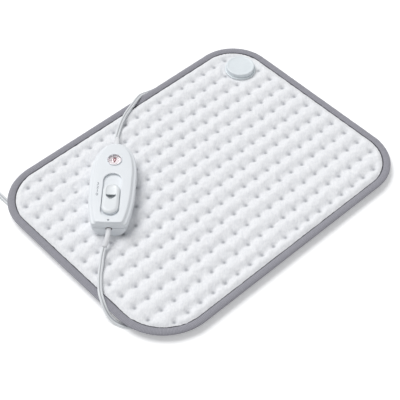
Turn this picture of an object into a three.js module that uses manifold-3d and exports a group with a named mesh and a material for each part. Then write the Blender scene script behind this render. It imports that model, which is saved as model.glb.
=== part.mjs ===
// Heating pad with a hand controller: a quilted pad with a bound edge, a round lead entry in one corner,
// a controller with a sliding heat setting and a number window, the lead between the two, and a coiled mains lead.
// Millimetres, +Z up. The origin is on the floor under the middle of the pad, +X runs along its long side.
import * as THREE from 'three';
import { mergeVertices } from 'three/addons/utils/BufferGeometryUtils.js';
import Module from 'manifold-3d';

const wasm = await Module();
wasm.setup();

// Driving dimensions

const clearance = 0.3; // between pieces that rest on each other
const overrun = 2; // how far a cutter passes the face that it cuts

const pad = {
  length: 400,
  width: 300,
  farRightRadius: 53,
  farLeftRadius: 59,
  nearLeftRadius: 67,
  nearRightRadius: 56,
  backHeight: 7.7,
  pocketFloor: 5,
  pocketMargin: 18.5,
  pocketRadius: 30,
  coverUnderside: 8,
  coverEdge: 9.3,
  coverCrest: 12.5,
  tuftHeight: 8.7,
  roundSteps: 8,
};

const tufts = {
  columns: 20,
  rows: 13,
  leftMargin: 22.6,
  rightMargin: 22.1,
  nearMargin: 21.7,
  farMargin: 23.9,
  leastFromEdge: 14,
  closeColumns: 2,
  valleyShare: 0.45,
};

const binding = {
  width: 10.5,
  height: 11,
  tape: 1.1,
  // inset from the pad's outline and height, as shares of the binding's width and height
  outerShares: [[1, 0], [0.3, 0], [0.1, 0.07], [0, 0.27], [0, 0.73], [0.1, 0.9], [0.33, 1], [0.75, 0.985], [1, 0.93]],
};

const felt = { thickness: 0.7, margin: 1.5 };

const wire = { diameter: 1.4, runs: 12, sides: 6, turnSteps: 4, sideMargin: 30, nearMargin: 32, returnGap: 17, bend: 4 };

const cutout = { length: 14, width: 6, height: 2.2, fromEnd: 140, afterRuns: [1, 7] };

const entry = {
  fromEnd: 37.2,
  fromSide: 48.6,
  flangeRadius: 19.8,
  topRadius: 17.2,
  ringRadius: 16.3,
  wall: 1.6,
  baseFloor: 0.3,
  baseHeight: 4.7,
  flangeThickness: 1.7,
  capHeight: 7,
  rim: 0.9,
  segments: 36,
  flatMargin: 3,
  blendWidth: 9,
  leadAngle: 143,
  screwOffset: 11.2,
  screwRadius: 1.1,
  headRadius: 2,
  headHeight: 1,
  bossRadius: 2.8,
  terminal: [12, 9, 6.2],
  wireSlot: 3.4,
  reliefThickness: 3.8,
};

const cord = { width: 5.4, thickness: 3.2, sides: 8, floor: 0.1 };

const relief = {
  length: 21,
  width: 7.2,
  thickness: 4.8,
  tipWidth: 6,
  tipThickness: 3.6,
  drop: 6.2,
  noseSide: 1.7,
  tailSide: 3.4,
  flangeWidth: 10,
  flangeHeight: 7,
  flangeDepth: 2,
  seatIn: 1.8,
  reach: 4.5,
  sides: 12,
  steps: 5,
  // distance along the sleeve, and how much of its droop it has reached there
  lineShares: [[0, 0], [0.33, 0.13], [0.67, 0.45], [1, 1]],
};

const controller = {
  fromEnd: 130.3,
  fromSide: 76.8,
  axisAngle: 45.5,
  pressed: 2,
  tail: -93.5,
  noseStart: -24,
  noseReach: 53.5,
  noseRound: 0.87,
  halfWidth: 26.8,
  tailHalfWidth: 19.4,
  tailBend: 3,
  tailCorner: 3.5,
  sideSteps: 5,
  noseSteps: 14,
  height: 24,
  parting: 14,
  wall: 2.2,
  innerWall: 1.5,
  deckThickness: 2,
  tailShare: 0.25,
  leadHeight: 13.2,
  noseClamp: 18.5,
  tailClamp: -86,
  // height and inset of the outside, as shares of the height and of half the width
  lowerShares: [[0, 0.46], [0.033, 0.345], [0.1, 0.23], [0.21, 0.122], [0.375, 0.038], [0.54, 0.006]],
  upperShares: [[0.81, 0.01], [0.842, 0.035], [0.878, 0.115], [0.975, 0.19], [1, 0.214]],
  // the hollow's height between parting and deck, and its inset as a share of half the width
  hollowShares: [[-0.25, 0], [0.62, 0.016], [0.75, 0.115], [1, 0.214]],
};

const recess = { tail: -84.8, nose: -20, width: 21, depth: 3, floor: 1.5 };

const knob = {
  tail: -80,
  length: 43.8,
  width: 19.6,
  proud: 1.9,
  edge: 0.9,
  slope: 3,
  slopeFoot: 0.4,
  slopeShare: 0.3,
  travelStep: 5.2,
  steps: 3,
  neckFrom: 11.4,
  neckLength: 8,
  neckWidth: 6.4,
  scoopLength: 12.7,
  scoopWidth: 12.4,
  scoopRim: 10.6,
  scoopDepth: 3,
  scoopFlat: 3,
  scoopRise: 3.5,
  scoopRiseHeight: 1.8,
};

const carrier = { width: 12, thickness: 1.6, armThickness: 0.7, armStart: -23, tail: -84, nose: 5, notchDepth: 1, notchRun: 2.4 };

const guide = { thickness: 1.5, drop: 2.4 };

const strip = { tail: -21, nose: 4, width: 9, thickness: 0.5, openingWidth: 7, openingMargin: 1.5 };

const lens = {
  holeRadius: 8.45,
  bodyRadius: 8.15,
  flangeRadius: 9.6,
  flangeThickness: 1.2,
  rim: 0.8,
  proud: 3,
  domeSteps: 4,
  segments: 28,
  collarWall: 1.5,
  maskThickness: 0.6,
  maskLength: 6,
  maskWidth: 6.8,
};

const board = { tail: -75, nose: 6, width: 29, thickness: 1.6, height: 6.5, postRadius: 2, postInset: 3.5 };

const screw = {
  noseAt: 11,
  noseSpread: 10.5,
  tailAt: -80,
  tailSpread: 10,
  shankRadius: 1.2,
  headRadius: 2.4,
  headHeight: 1.6,
  headFloor: 2,
  lowerBossRadius: 4,
  bossRadius: 3.2,
  meet: 9,
  shankTop: 14,
  segments: 12,
};

const clamp = { length: 22, width: 5, thickness: 2, postSpread: 8, postRadius: 2.2 };

const innerCord = {
  radius: 1.3,
  landing: 2,
  sides: 8,
  steps: 8,
  // distance from the strain relief to the board, and how much of the way down it has come
  lineShares: [[0, 0], [0.35, 0.05], [0.7, 0.5], [1, 1]],
};

const small = {
  capacitor: [13, 5.6, 9.5],
  capacitorAt: [-45, 11.2],
  triac: [10, 4.4, 8.5],
  triacAt: [-25, -11.2],
  fuseAt: [-52, -11.2],
  fuseLength: 16,
  fuseRadius: 2.6,
  resistorAt: [-18, 11.2],
  resistorLength: 9,
  resistorRadius: 1.8,
  lead: 1.5,
  leadRadius: 0.5,
  leadSides: 8,
  lampRadius: 2.4,
  lampHeight: 7.4,
  segments: 20,
};

const rail = { from: -64, length: 27, width: 2.6, thickness: 0.4, spread: 3.6 };

const bridge = { thickness: 0.4, width: 9, foot: 3, lean: 7 };

const spring = { from: -75, length: 20, seat: 3, crown: 1.6, thickness: 0.5, height: 1.5, gap: 0.15 };

const coil = { beyondEnd: 26.1, beyondSide: 21.4, outerRadius: 40.4, pitch: 5.9, layerPitch: 3.7, turnsDown: 3.5, stepsPerTurn: 24, sides: 6, lift: 1 };

const tie = { width: 5, thickness: 0.7, gap: 0.25, sideGap: 0.6, corner: 2, turnShare: 0.6 };

const plug = {
  length: 34,
  width: 35.3,
  height: 13.7,
  axisHeight: 7,
  sides: 20,
  roundShare: 0.62,
  // distance along the body, width and height, as shares of its length, width and height
  bodyShares: [[0, 0.42, 0.66], [0.1, 0.5, 0.8], [0.42, 0.6, 0.92], [0.78, 0.96, 1], [1, 1, 1]],
  reliefLength: 25,
  reliefWidth: 10,
  reliefHeight: 7.4,
  reliefTipWidth: 6.4,
  reliefTipHeight: 4.2,
  pinRadius: 2,
  pinLength: 19,
  pinSpacing: 18.6,
  pinSocket: 6,
  pinSides: 16,
};

// Places of the loose pieces, from the pad's ends and sides
const entryX = pad.length / 2 - entry.fromEnd;
const entryY = pad.width / 2 - entry.fromSide;
const controllerX = controller.fromEnd - pad.length / 2;
const controllerY = pad.width / 2 - controller.fromSide;
const coilX = -pad.length / 2 - coil.beyondEnd;
const coilY = pad.width / 2 + coil.beyondSide;

// The cords' centre lines, chosen by hand, in millimetres in the pad's frame
const padLeadPoints = [
  [-26.2, 119.3, 14.6],
  [-18.9, 124.8, 14.4],
  [-10.9, 130.1, 14.4],
  [-2.3, 134.8, 14.4],
  [6.5, 138.8, 14.3],
  [15.8, 142.6, 13.6],
  [25.3, 146.5, 13.2],
  [34.8, 150.3, 11.8],
  [43.3, 152.7, 8],
  [51.3, 154.1, 4],
  [60.3, 153.9, 2],
  [70.3, 151.7, 1.7],
  [81.3, 148.5, 1.7],
  [93.3, 144.9, 1.7],
  [104.3, 140.9, 1.7],
  [114.3, 136.3, 1.7],
];
const mainsLeadPoints = [
  [-162.4, -13.6, 14.9],
  [-170.3, -21.2, 14.6],
  [-179, -29.8, 14.6],
  [-187.1, -39, 14.6],
  [-193.9, -48.2, 14.4],
  [-198.7, -57.6, 13.3],
  [-202.2, -67.2, 9.8],
  [-202.9, -75.7, 5.2],
  [-200.9, -84.2, 2.3],
  [-196.8, -92.4, 1.7],
  [-190.3, -99.4, 1.7],
  [-181.4, -103.1, 1.7],
  [-171.9, -102.6, 1.7],
  [-163.4, -98.3, 1.7],
  [-157.6, -90.7, 1.7],
  [-155.6, -81.4, 1.7],
  [-156.9, -69.2, 1.7],
  [-161.2, -52.1, 1.7],
  [-167.4, -32.1, 1.7],
  [-173.6, -12.1, 1.7],
  [-179.2, 7.9, 1.7],
  [-183.4, 28.9, 1.7],
  [-185.4, 50.9, 1.7],
  [-185.7, 76.9, 1.7],
  [-185.7, 102.9, 1.7],
  [-185.7, 128.9, 1.8],
  [-185.7, 146.9, 2.2],
];

// Shapes

// A closed mesh as a solid, with its faces turned outwards.
function solidOf(geometry) {
  const plain = geometry.index ? geometry.toNonIndexed() : geometry.clone();
  for (const name of Object.keys(plain.attributes)) if (name !== 'position') plain.deleteAttribute(name);
  const merged = mergeVertices(plain, 1e-4);
  const make = (triVerts) =>
    new wasm.Manifold(new wasm.Mesh({ numProp: 3, vertProperties: merged.attributes.position.array, triVerts }));
  const triVerts = new Uint32Array(merged.index.array);
  const solid = make(triVerts);
  if (solid.volume() > 0) return solid;
  for (let i = 0; i < triVerts.length; i += 3) [triVerts[i + 1], triVerts[i + 2]] = [triVerts[i + 2], triVerts[i + 1]];
  return make(triVerts);
}

function geometryOf(solid) {
  const mesh = solid.getMesh();
  const positions = new Float32Array(mesh.numVert * 3);
  for (let i = 0; i < mesh.numVert; i++) {
    positions.set(mesh.vertProperties.subarray(i * mesh.numProp, i * mesh.numProp + 3), i * 3);
  }
  const geometry = new THREE.BufferGeometry();
  geometry.setAttribute('position', new THREE.BufferAttribute(positions, 3));
  geometry.setIndex(new THREE.BufferAttribute(mesh.triVerts, 1));
  const flat = geometry.toNonIndexed();
  flat.computeVertexNormals();
  return flat;
}

function box(low, high) {
  const geometry = new THREE.BoxGeometry(high[0] - low[0], high[1] - low[1], high[2] - low[2]);
  geometry.translate((low[0] + high[0]) / 2, (low[1] + high[1]) / 2, (low[2] + high[2]) / 2);
  return solidOf(geometry);
}

// An upright cylinder at x, y from the height bottom to the height top.
function post(x, y, radius, bottom, top, segments) {
  const geometry = new THREE.CylinderGeometry(radius, radius, top - bottom, segments);
  geometry.rotateX(Math.PI / 2);
  geometry.translate(x, y, (bottom + top) / 2);
  return solidOf(geometry);
}

// A cylinder along X from one x to another.
function rod(from, to, y, z, radius, segments) {
  const geometry = new THREE.CylinderGeometry(radius, radius, to - from, segments);
  geometry.rotateZ(Math.PI / 2);
  geometry.translate((from + to) / 2, y, z);
  return solidOf(geometry);
}

// A shape turned about the vertical through x, y: points are [radius, height].
function turned(x, y, points, segments) {
  const geometry = new THREE.LatheGeometry(points.map(([r, z]) => new THREE.Vector2(r, z)), segments);
  geometry.rotateX(Math.PI / 2);
  geometry.translate(x, y, 0);
  return solidOf(geometry);
}

// A flat outline of [x, y] points raised from bottom to top.
function prism(points, bottom, top) {
  const shape = new THREE.Shape(points.map(([x, y]) => new THREE.Vector2(x, y)));
  const geometry = new THREE.ExtrudeGeometry(shape, { depth: top - bottom, bevelEnabled: false });
  geometry.translate(0, 0, bottom);
  return solidOf(geometry);
}

// An outline of [x, z] points in the upright plane, spread from y = -halfWidth to y = halfWidth.
function slab(points, halfWidth) {
  const shape = new THREE.Shape(points.map(([x, z]) => new THREE.Vector2(x, z)));
  const geometry = new THREE.ExtrudeGeometry(shape, { depth: halfWidth + halfWidth, bevelEnabled: false });
  geometry.translate(0, 0, -halfWidth);
  geometry.rotateX(Math.PI / 2);
  return solidOf(geometry);
}

// Rings of points, each the same count, joined in a row and closed with a fan at both ends.
function loft(rings) {
  const count = rings[0].length;
  const vertices = rings.flat();
  const middle = (ring) => ring.reduce((sum, p) => sum.map((v, i) => v + p[i] / count), [0, 0, 0]);
  vertices.push(middle(rings[0]), middle(rings[rings.length - 1]));
  const first = vertices.length - 2;
  const index = [];
  for (let k = 0; k < count; k++) {
    const next = (k + 1) % count;
    for (let r = 0; r + 1 < rings.length; r++) {
      const a = r * count + k;
      const b = r * count + next;
      index.push(a, b, b + count, a, b + count, a + count);
    }
    const last = (rings.length - 1) * count;
    index.push(first, next, k, first + 1, last + k, last + next);
  }
  const geometry = new THREE.BufferGeometry();
  geometry.setAttribute('position', new THREE.Float32BufferAttribute(vertices.flat(), 3));
  geometry.setIndex(index);
  return solidOf(geometry);
}

// A pill outline with its long axis along X.
function pill(from, to, width, inset = 0, steps = 12) {
  const radius = width / 2 - inset;
  const points = [];
  for (const [centre, start] of [[to - width / 2, -90], [from + width / 2, 90]]) {
    for (let k = 0; k <= steps; k++) {
      const angle = THREE.MathUtils.degToRad(start + (180 * k) / steps);
      points.push([centre + radius * Math.cos(angle), radius * Math.sin(angle)]);
    }
  }
  return points;
}

// The corners differ a little, as the pad is sewn by hand.
function cornerRadius(x, y) {
  if (y > 0) return x > 0 ? pad.farRightRadius : pad.farLeftRadius;
  return x > 0 ? pad.nearRightRadius : pad.nearLeftRadius;
}

// The pad's outline, drawn in by inset.
function padOutline(inset) {
  const points = [];
  for (const [cx, cy, start] of [[1, 1, 0], [-1, 1, 90], [-1, -1, 180], [1, -1, 270]]) {
    const radius = cornerRadius(cx, cy);
    for (let k = 0; k <= pad.roundSteps; k++) {
      const angle = THREE.MathUtils.degToRad(start + (90 * k) / pad.roundSteps);
      points.push([
        cx * (pad.length / 2 - radius) + (radius - inset) * Math.cos(angle),
        cy * (pad.width / 2 - radius) + (radius - inset) * Math.sin(angle),
      ]);
    }
  }
  return points;
}

// How far a point lies inside the pad's outline.
function insideBy(x, y) {
  const radius = cornerRadius(x, y);
  const dx = Math.abs(x) - (pad.length / 2 - radius);
  const dy = Math.abs(y) - (pad.width / 2 - radius);
  return radius - Math.hypot(Math.max(dx, 0), Math.max(dy, 0)) - Math.min(Math.max(dx, dy), 0);
}

// Cords

// A curve whose cross direction stays level, so that a flat cord doesn't roll as it bends.
function keepLevel(curve) {
  curve.computeFrenetFrames = (segments) => {
    const frames = { tangents: [], normals: [], binormals: [] };
    for (let i = 0; i <= segments; i++) {
      const tangent = curve.getTangentAt(i / segments).normalize();
      const side = new THREE.Vector3(0, 0, 1).cross(tangent).normalize();
      frames.tangents.push(tangent);
      frames.normals.push(tangent.clone().cross(side));
      frames.binormals.push(side);
    }
    return frames;
  };
  return curve;
}

function cordCurve(points) {
  return keepLevel(new THREE.CatmullRomCurve3(points.map((p) => new THREE.Vector3(...p)), false, 'centripetal'));
}

// A section of [up, across] points swept along a curve.
function sweepSection(curve, points, steps) {
  const section = new THREE.Shape(points.map(([up, across]) => new THREE.Vector2(up, across)));
  return solidOf(new THREE.ExtrudeGeometry(section, { steps, bevelEnabled: false, extrudePath: curve }));
}

// An oval section swept along a curve.
function sweep(curve, width, thickness, sides, steps) {
  return sweepSection(curve, Array.from({ length: sides }, (_, k) => {
    const angle = (2 * Math.PI * (k + 0.5)) / sides;
    return [(thickness / 2) * Math.cos(angle), (width / 2) * Math.sin(angle)];
  }), steps);
}

// The pad

const tuftPitchX = (pad.length - tufts.leftMargin - tufts.rightMargin) / (tufts.columns - 1);
const tuftPitchY = (pad.width - tufts.nearMargin - tufts.farMargin) / (tufts.rows - 1);
const tuftX = (i) => -pad.length / 2 + tufts.leftMargin + i * tuftPitchX;
const tuftY = (j) => -pad.width / 2 + tufts.nearMargin + j * tuftPitchY;

const controllerSeat = pad.coverCrest - controller.pressed + clearance;

// Top of the quilted cover at a point, given how puffed it is there, from 0 at a tuft to 1 on a ridge.
function coverTop(x, y, puff) {
  const fromEntry = Math.hypot(x - entryX, y - entryY) - entry.flangeRadius - entry.flatMargin;
  const swell = THREE.MathUtils.clamp(fromEntry / entry.blendWidth, 0, 1);
  const open = pad.tuftHeight + (pad.coverCrest - pad.tuftHeight) * puff;
  const top = pad.coverEdge + (open - pad.coverEdge) * swell;
  if (insideBy(x, y) < binding.width + clearance * 2) return pad.coverEdge;
  return top;
}

function isTuft(x, y) {
  const fromEntry = Math.hypot(x - entryX, y - entryY);
  return insideBy(x, y) > tufts.leastFromEdge && fromEntry > entry.flangeRadius + entry.flatMargin;
}

// The cover's top as rows of points: one along each line of tufts, and one along each ridge between them.
function quiltedCover() {
  const halfLength = pad.length / 2;
  const halfWidth = pad.width / 2;
  const edge = binding.width + clearance;
  const columns = Array.from({ length: tufts.columns }, (_, i) => tuftX(i));
  const betweens = columns.slice(1).map((x) => x - tuftPitchX / 2);
  const ends = [-halfLength, -halfLength + edge];
  const farEnds = [halfLength - edge, halfLength];
  const sideMiddle = [(-halfLength + edge + columns[0]) / 2, (halfLength - edge + columns[tufts.columns - 1]) / 2];
  const tuftRow = [...ends, ...columns.flatMap((x, i) => (i ? [betweens[i - 1], x] : [x])), ...farEnds];
  const fullRow = [...ends, sideMiddle[0], ...betweens, sideMiddle[1], ...farEnds];
  const ridgeRow = fullRow.filter((_, i) => i < tufts.closeColumns || i >= fullRow.length - tufts.closeColumns || i % 2);
  const rows = [];
  const addRow = (y, xs, puffAt) => rows.push(xs.map((x) => [x, y, coverTop(x, y, puffAt(x))]));
  const flat = () => 0;
  const full = () => 1;
  const onTufts = (y) => (x) => (columns.includes(x) ? (isTuft(x, y) ? 0 : tufts.valleyShare) : tufts.valleyShare);
  addRow(-halfWidth, ridgeRow, flat);
  addRow(-halfWidth + edge, ridgeRow, flat);
  addRow(tuftY(0) - tuftPitchY / 2, ridgeRow, full);
  for (let j = 0; j < tufts.rows; j++) {
    if (j) addRow(tuftY(j) - tuftPitchY / 2, ridgeRow, full);
    addRow(tuftY(j), tuftRow, onTufts(tuftY(j)));
  }
  addRow(halfWidth - edge, ridgeRow, flat);
  addRow(halfWidth, ridgeRow, flat);
  return rowsToSolid(rows, pad.coverUnderside);
}

// Rows of points along X, of any count each, joined as a top, with upright sides and a flat underside.
function rowsToSolid(rows, underside) {
  const triangles = [];
  const push = (a, b, c) => triangles.push(...a, ...b, ...c);
  rows.slice(1).forEach((row, r) => {
    const below = rows[r];
    let i = 0;
    let j = 0;
    while (i + 1 < below.length || j + 1 < row.length) {
      const stepBelow = j + 1 >= row.length || (i + 1 < below.length && below[i + 1][0] <= row[j + 1][0]);
      if (stepBelow) push(below[i], below[++i], row[j]);
      else push(below[i], row[j + 1], row[j++]);
    }
  });
  const last = rows[rows.length - 1];
  const rim = [...rows[0], ...rows.slice(1, -1).map((row) => row[row.length - 1]), ...[...last].reverse(),
    ...rows.slice(1, -1).map((row) => row[0]).reverse()];
  const foot = rim.map(([x, y]) => [x, y, underside]);
  const middle = [0, 0, underside];
  rim.forEach((p, k) => {
    const next = (k + 1) % rim.length;
    push(p, foot[k], foot[next]);
    push(p, foot[next], rim[next]);
    push(foot[k], middle, foot[next]);
  });
  const geometry = new THREE.BufferGeometry();
  geometry.setAttribute('position', new THREE.Float32BufferAttribute(triangles, 3));
  return solidOf(geometry);
}

// The room that a cord needs under the pad: a square-cornered channel along the cord's own line.
function channel(curve, width, thickness, steps) {
  const across = width / 2 + clearance * 2;
  const up = thickness / 2 + clearance;
  return sweepSection(curve, [[up, across], [-up, across], [-up, -across], [up, -across]], steps);
}

const mainsSteps = 78;
const padSteps = 40;

const leadAngle = THREE.MathUtils.degToRad(entry.leadAngle);
const leadWay = [Math.cos(leadAngle), Math.sin(leadAngle)];
const cordFloor = cord.floor + cord.thickness / 2;

// The lead entry's strain relief lies under the pad, from the entry's side towards the lead.
const entryReliefStart = entry.flangeRadius + clearance;
const entryReliefEnd = entryReliefStart + relief.length;
const entryReliefHeight = cord.floor + entry.reliefThickness / 2;
const entryReliefCurve = cordCurve([0, 0.5, 1].map((share) => {
  const reach = entryReliefStart + (entryReliefEnd - entryReliefStart) * share;
  return [entryX + leadWay[0] * reach, entryY + leadWay[1] * reach,
    entryReliefHeight + (cordFloor - entryReliefHeight) * share];
}));

function cordRoom() {
  const mains = channel(mainsCurve, cord.width, cord.thickness, mainsSteps);
  const lead = channel(padCurve, cord.width, cord.thickness, padSteps);
  const sleeve = channel(entryReliefCurve, relief.width, entry.reliefThickness, relief.steps);
  return mains.add(lead).add(sleeve);
}

function entryHole(radius, bottom, top) {
  return post(entryX, entryY, radius, bottom, top, entry.segments);
}

function padPieces() {
  const room = cordRoom();
  const open = (radius) => entryHole(radius + clearance, -overrun, pad.coverCrest + overrun);

  // quilted cover: tucked under the binding's upper lip all round
  const lipGap = binding.height - binding.tape - clearance;
  const underLip = prism(padOutline(binding.tape + clearance), pad.coverUnderside, pad.coverCrest + overrun)
    .subtract(prism(padOutline(-overrun), lipGap, pad.coverCrest + overrun)
      .subtract(prism(padOutline(binding.width + clearance), lipGap - overrun, pad.coverCrest + overrun + overrun)));
  const pressedIn = loft(lowerProfile.map(([z, d]) => controllerRing(z - clearance, d - clearance, -clearance)
    .map((p) => toPad(new THREE.Vector3(...p)).toArray())));
  const cover = quiltedCover().intersect(underLip).subtract(open(entry.ringRadius)).subtract(pressedIn)
    .subtract(entryHole(entry.flangeRadius + clearance, pad.coverEdge, pad.coverCrest + overrun));

  // back cover: a tray for the heating layer, with the cords' room pressed into its underside
  const lipFloor = binding.tape + clearance;
  const pocket = (inset, radius) => {
    const halfLength = pad.length / 2 - inset;
    const halfWidth = pad.width / 2 - inset;
    return { halfLength, halfWidth, radius };
  };
  const rounded = ({ halfLength, halfWidth, radius }) => {
    const points = [];
    for (const [cx, cy, start] of [[1, 1, 0], [-1, 1, 90], [-1, -1, 180], [1, -1, 270]]) {
      for (let k = 0; k <= pad.roundSteps; k++) {
        const angle = THREE.MathUtils.degToRad(start + (90 * k) / pad.roundSteps);
        points.push([cx * (halfLength - radius) + radius * Math.cos(angle), cy * (halfWidth - radius) + radius * Math.sin(angle)]);
      }
    }
    return points;
  };
  const back = prism(padOutline(binding.width + clearance), 0, pad.backHeight)
    .add(prism(padOutline(binding.tape + clearance), lipFloor, pad.backHeight))
    .subtract(prism(rounded(pocket(pad.pocketMargin, pad.pocketRadius)), pad.pocketFloor, pad.backHeight + overrun))
    .subtract(entryHole(entry.flangeRadius + clearance, -overrun, pad.pocketFloor + overrun))
    .subtract(room);

  // heating layer: felt with the wire laid over it in even runs
  const carrierFelt = prism(rounded(pocket(pad.pocketMargin + felt.margin, pad.pocketRadius - felt.margin)), feltBottom, feltTop)
    .subtract(open(entry.ringRadius));
  const cutouts = cutout.afterRuns.map((runs) => {
    const y = wireTop - wireSpacing * (runs + 0.5);
    const low = [cutout.fromEnd - pad.length / 2, y - cutout.width / 2, feltBottom];
    return { low, high: [low[0] + cutout.length, low[1] + cutout.width, feltBottom + cutout.height] };
  });
  const feltSheet = cutouts.reduce((sheet, { low, high }) => sheet.subtract(
    box([low[0] - clearance, low[1] - clearance, feltBottom - overrun], [high[0] + clearance, high[1] + clearance, feltTop + overrun])),
  carrierFelt);

  return {
    cover,
    back,
    feltSheet,
    cutouts: cutouts.map(({ low, high }) => box(low, high)),
    binding: bindingRing().subtract(room),
    wire: heatingWire(),
  };
}

// The binding is a folded tape: a U section carried round the pad's outline.
function bindingRing() {
  const outer = binding.outerShares.map(([inset, height]) => [inset * binding.width, height * binding.height]);
  const innerTop = binding.height - binding.tape;
  const inner = [[binding.width, innerTop - clearance / 3], [binding.tape + clearance / 3, innerTop - clearance / 3],
    [binding.tape + clearance / 3, binding.tape], [binding.width, binding.tape]];
  const section = [...outer, ...inner];
  const stations = padOutline(0).length;
  const index = [];
  const vertices = [];
  const rings = section.map(([inset]) => padOutline(inset));
  for (let s = 0; s < stations; s++) section.forEach(([, z], k) => vertices.push(...rings[k][s], z));
  for (let s = 0; s < stations; s++) {
    for (let k = 0; k < section.length; k++) {
      const a = s * section.length + k;
      const b = s * section.length + ((k + 1) % section.length);
      const c = ((s + 1) % stations) * section.length + k;
      const d = ((s + 1) % stations) * section.length + ((k + 1) % section.length);
      index.push(a, b, d, a, d, c);
    }
  }
  const geometry = new THREE.BufferGeometry();
  geometry.setAttribute('position', new THREE.Float32BufferAttribute(vertices, 3));
  geometry.setIndex(index);
  return solidOf(geometry);
}

// The heating wire: even runs along the pad joined by half turns, with both ends at the lead entry.
const feltBottom = pad.pocketFloor + clearance;
const feltTop = feltBottom + felt.thickness;
const wireHeight = feltTop + clearance + wire.diameter / 2;
const wireTop = entryY;
const wireBottom = -pad.width / 2 + wire.nearMargin;
const wireSpacing = (wireTop - wireBottom) / (wire.runs - 1);

function heatingWire() {
  const reach = pad.length / 2 - wire.sideMargin;
  const right = reach - wire.returnGap;
  const points = [];
  const corner = (x, y, start, swing, radius) => {
    for (let k = 0; k <= wire.turnSteps; k++) {
      const angle = THREE.MathUtils.degToRad(start + (swing * k) / wire.turnSteps);
      points.push(new THREE.Vector3(x + radius * Math.cos(angle), y + radius * Math.sin(angle), wireHeight));
    }
  };
  const turn = wireSpacing / 2;
  points.push(new THREE.Vector3(entryX - entry.terminal[0] / 2 - clearance, wireTop, wireHeight));
  for (let run = 0; run + 1 < wire.runs; run++) {
    const y = wireTop - run * wireSpacing - turn;
    if (run % 2) corner(right - turn, y, 90, -180, turn);
    else corner(-reach + turn, y, 90, 180, turn);
  }
  const returnTop = wireTop - entry.ringRadius;
  corner(reach - wire.bend, wireBottom + wire.bend, -90, 90, wire.bend);
  corner(reach - wire.bend, returnTop - wire.bend * 2, 0, 90, wire.bend);
  corner(entryX + wire.bend, returnTop, -90, -90, wire.bend);
  points.push(new THREE.Vector3(entryX, wireTop - entry.terminal[1] / 2 - clearance, wireHeight));
  return tubeThrough(points, wire.diameter, wire.sides);
}

// A tube with a ring of points at each corner of a level route.
function tubeThrough(points, diameter, sides) {
  const rings = points.map((p, i) => {
    const before = points[Math.max(i - 1, 0)];
    const after = points[Math.min(i + 1, points.length - 1)];
    const incoming = p.clone().sub(before).normalize();
    const outgoing = after.clone().sub(p).normalize();
    const way = incoming.add(outgoing).normalize();
    const side = new THREE.Vector3(0, 0, 1).cross(way).normalize();
    const up = way.clone().cross(side);
    return Array.from({ length: sides }, (_, k) => {
      const angle = (2 * Math.PI * k) / sides;
      return p.clone().addScaledVector(side, (Math.cos(angle) * diameter) / 2)
        .addScaledVector(up, (Math.sin(angle) * diameter) / 2).toArray();
    });
  });
  return loft(rings);
}

// The lead entry: a base under the pad and a cap above it, held together by screws through the pad

const around = (radius, degrees) => {
  const angle = THREE.MathUtils.degToRad(degrees);
  return [entryX + radius * Math.cos(angle), entryY + radius * Math.sin(angle)];
};
const capSeat = pad.coverEdge + clearance;
const capTop = capSeat + entry.capHeight;
const spigotFoot = entry.baseHeight + clearance;
const entryScrewTurns = [90, -90];

function entryPieces() {
  const inner = entry.ringRadius - entry.wall;
  const slots = [[-entry.ringRadius, 0], [0, -entry.ringRadius]].map(([dx, dy]) => box(
    [entryX + dx - entry.wireSlot, entryY + dy - entry.wireSlot, spigotFoot - overrun],
    [entryX + dx + entry.wireSlot, entryY + dy + entry.wireSlot, wireHeight + wire.diameter],
  ));
  let cap = turned(entryX, entryY, [
    [0, capTop - entry.wall],
    [inner, capTop - entry.wall],
    [inner, spigotFoot],
    [entry.ringRadius, spigotFoot],
    [entry.ringRadius, capSeat],
    [entry.flangeRadius, capSeat],
    [entry.flangeRadius, capSeat + entry.flangeThickness],
    [entry.topRadius + entry.rim / 2, capTop - entry.rim],
    [entry.topRadius - entry.rim / 2, capTop],
    [0, capTop],
  ], entry.segments);
  const rim = entry.flangeRadius - entry.wall;
  let base = turned(entryX, entryY, [
    [0, entry.baseFloor],
    [entry.flangeRadius, entry.baseFloor],
    [entry.flangeRadius, entry.baseHeight],
    [rim, entry.baseHeight],
    [rim, entry.baseFloor + entry.wall],
    [0, entry.baseFloor + entry.wall],
  ], entry.segments);
  for (const slot of slots) cap = cap.subtract(slot);
  const screws = entryScrewTurns.map((degrees) => {
    const [x, y] = around(entry.screwOffset, entry.leadAngle + degrees);
    const headTop = entry.baseFloor + clearance + entry.headHeight;
    cap = cap
      .add(post(x, y, entry.bossRadius, spigotFoot, capTop - entry.wall / 2, screw.segments))
      .subtract(post(x, y, entry.screwRadius + clearance, spigotFoot - overrun, capSeat + clearance, screw.segments));
    base = base
      .add(post(x, y, entry.headRadius + entry.wall, entry.baseFloor, entry.baseHeight, screw.segments))
      .subtract(post(x, y, entry.headRadius + clearance, -overrun, headTop + clearance, screw.segments))
      .subtract(post(x, y, entry.screwRadius + clearance, -overrun, spigotFoot + overrun, screw.segments));
    return turned(x, y, [
      [0, entry.baseFloor + clearance],
      [entry.headRadius, entry.baseFloor + clearance],
      [entry.headRadius, headTop],
      [entry.screwRadius, headTop],
      [entry.screwRadius, capSeat],
      [0, capSeat],
    ], screw.segments);
  });
  const [long, wide, tall] = entry.terminal;
  const terminalFloor = entry.baseFloor + entry.wall + clearance;
  const terminal = box(
    [entryX - long / 2, entryY - wide / 2, terminalFloor],
    [entryX + long / 2, entryY + wide / 2, terminalFloor + tall],
  );
  return { cap, base, screws, terminal };
}

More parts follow.
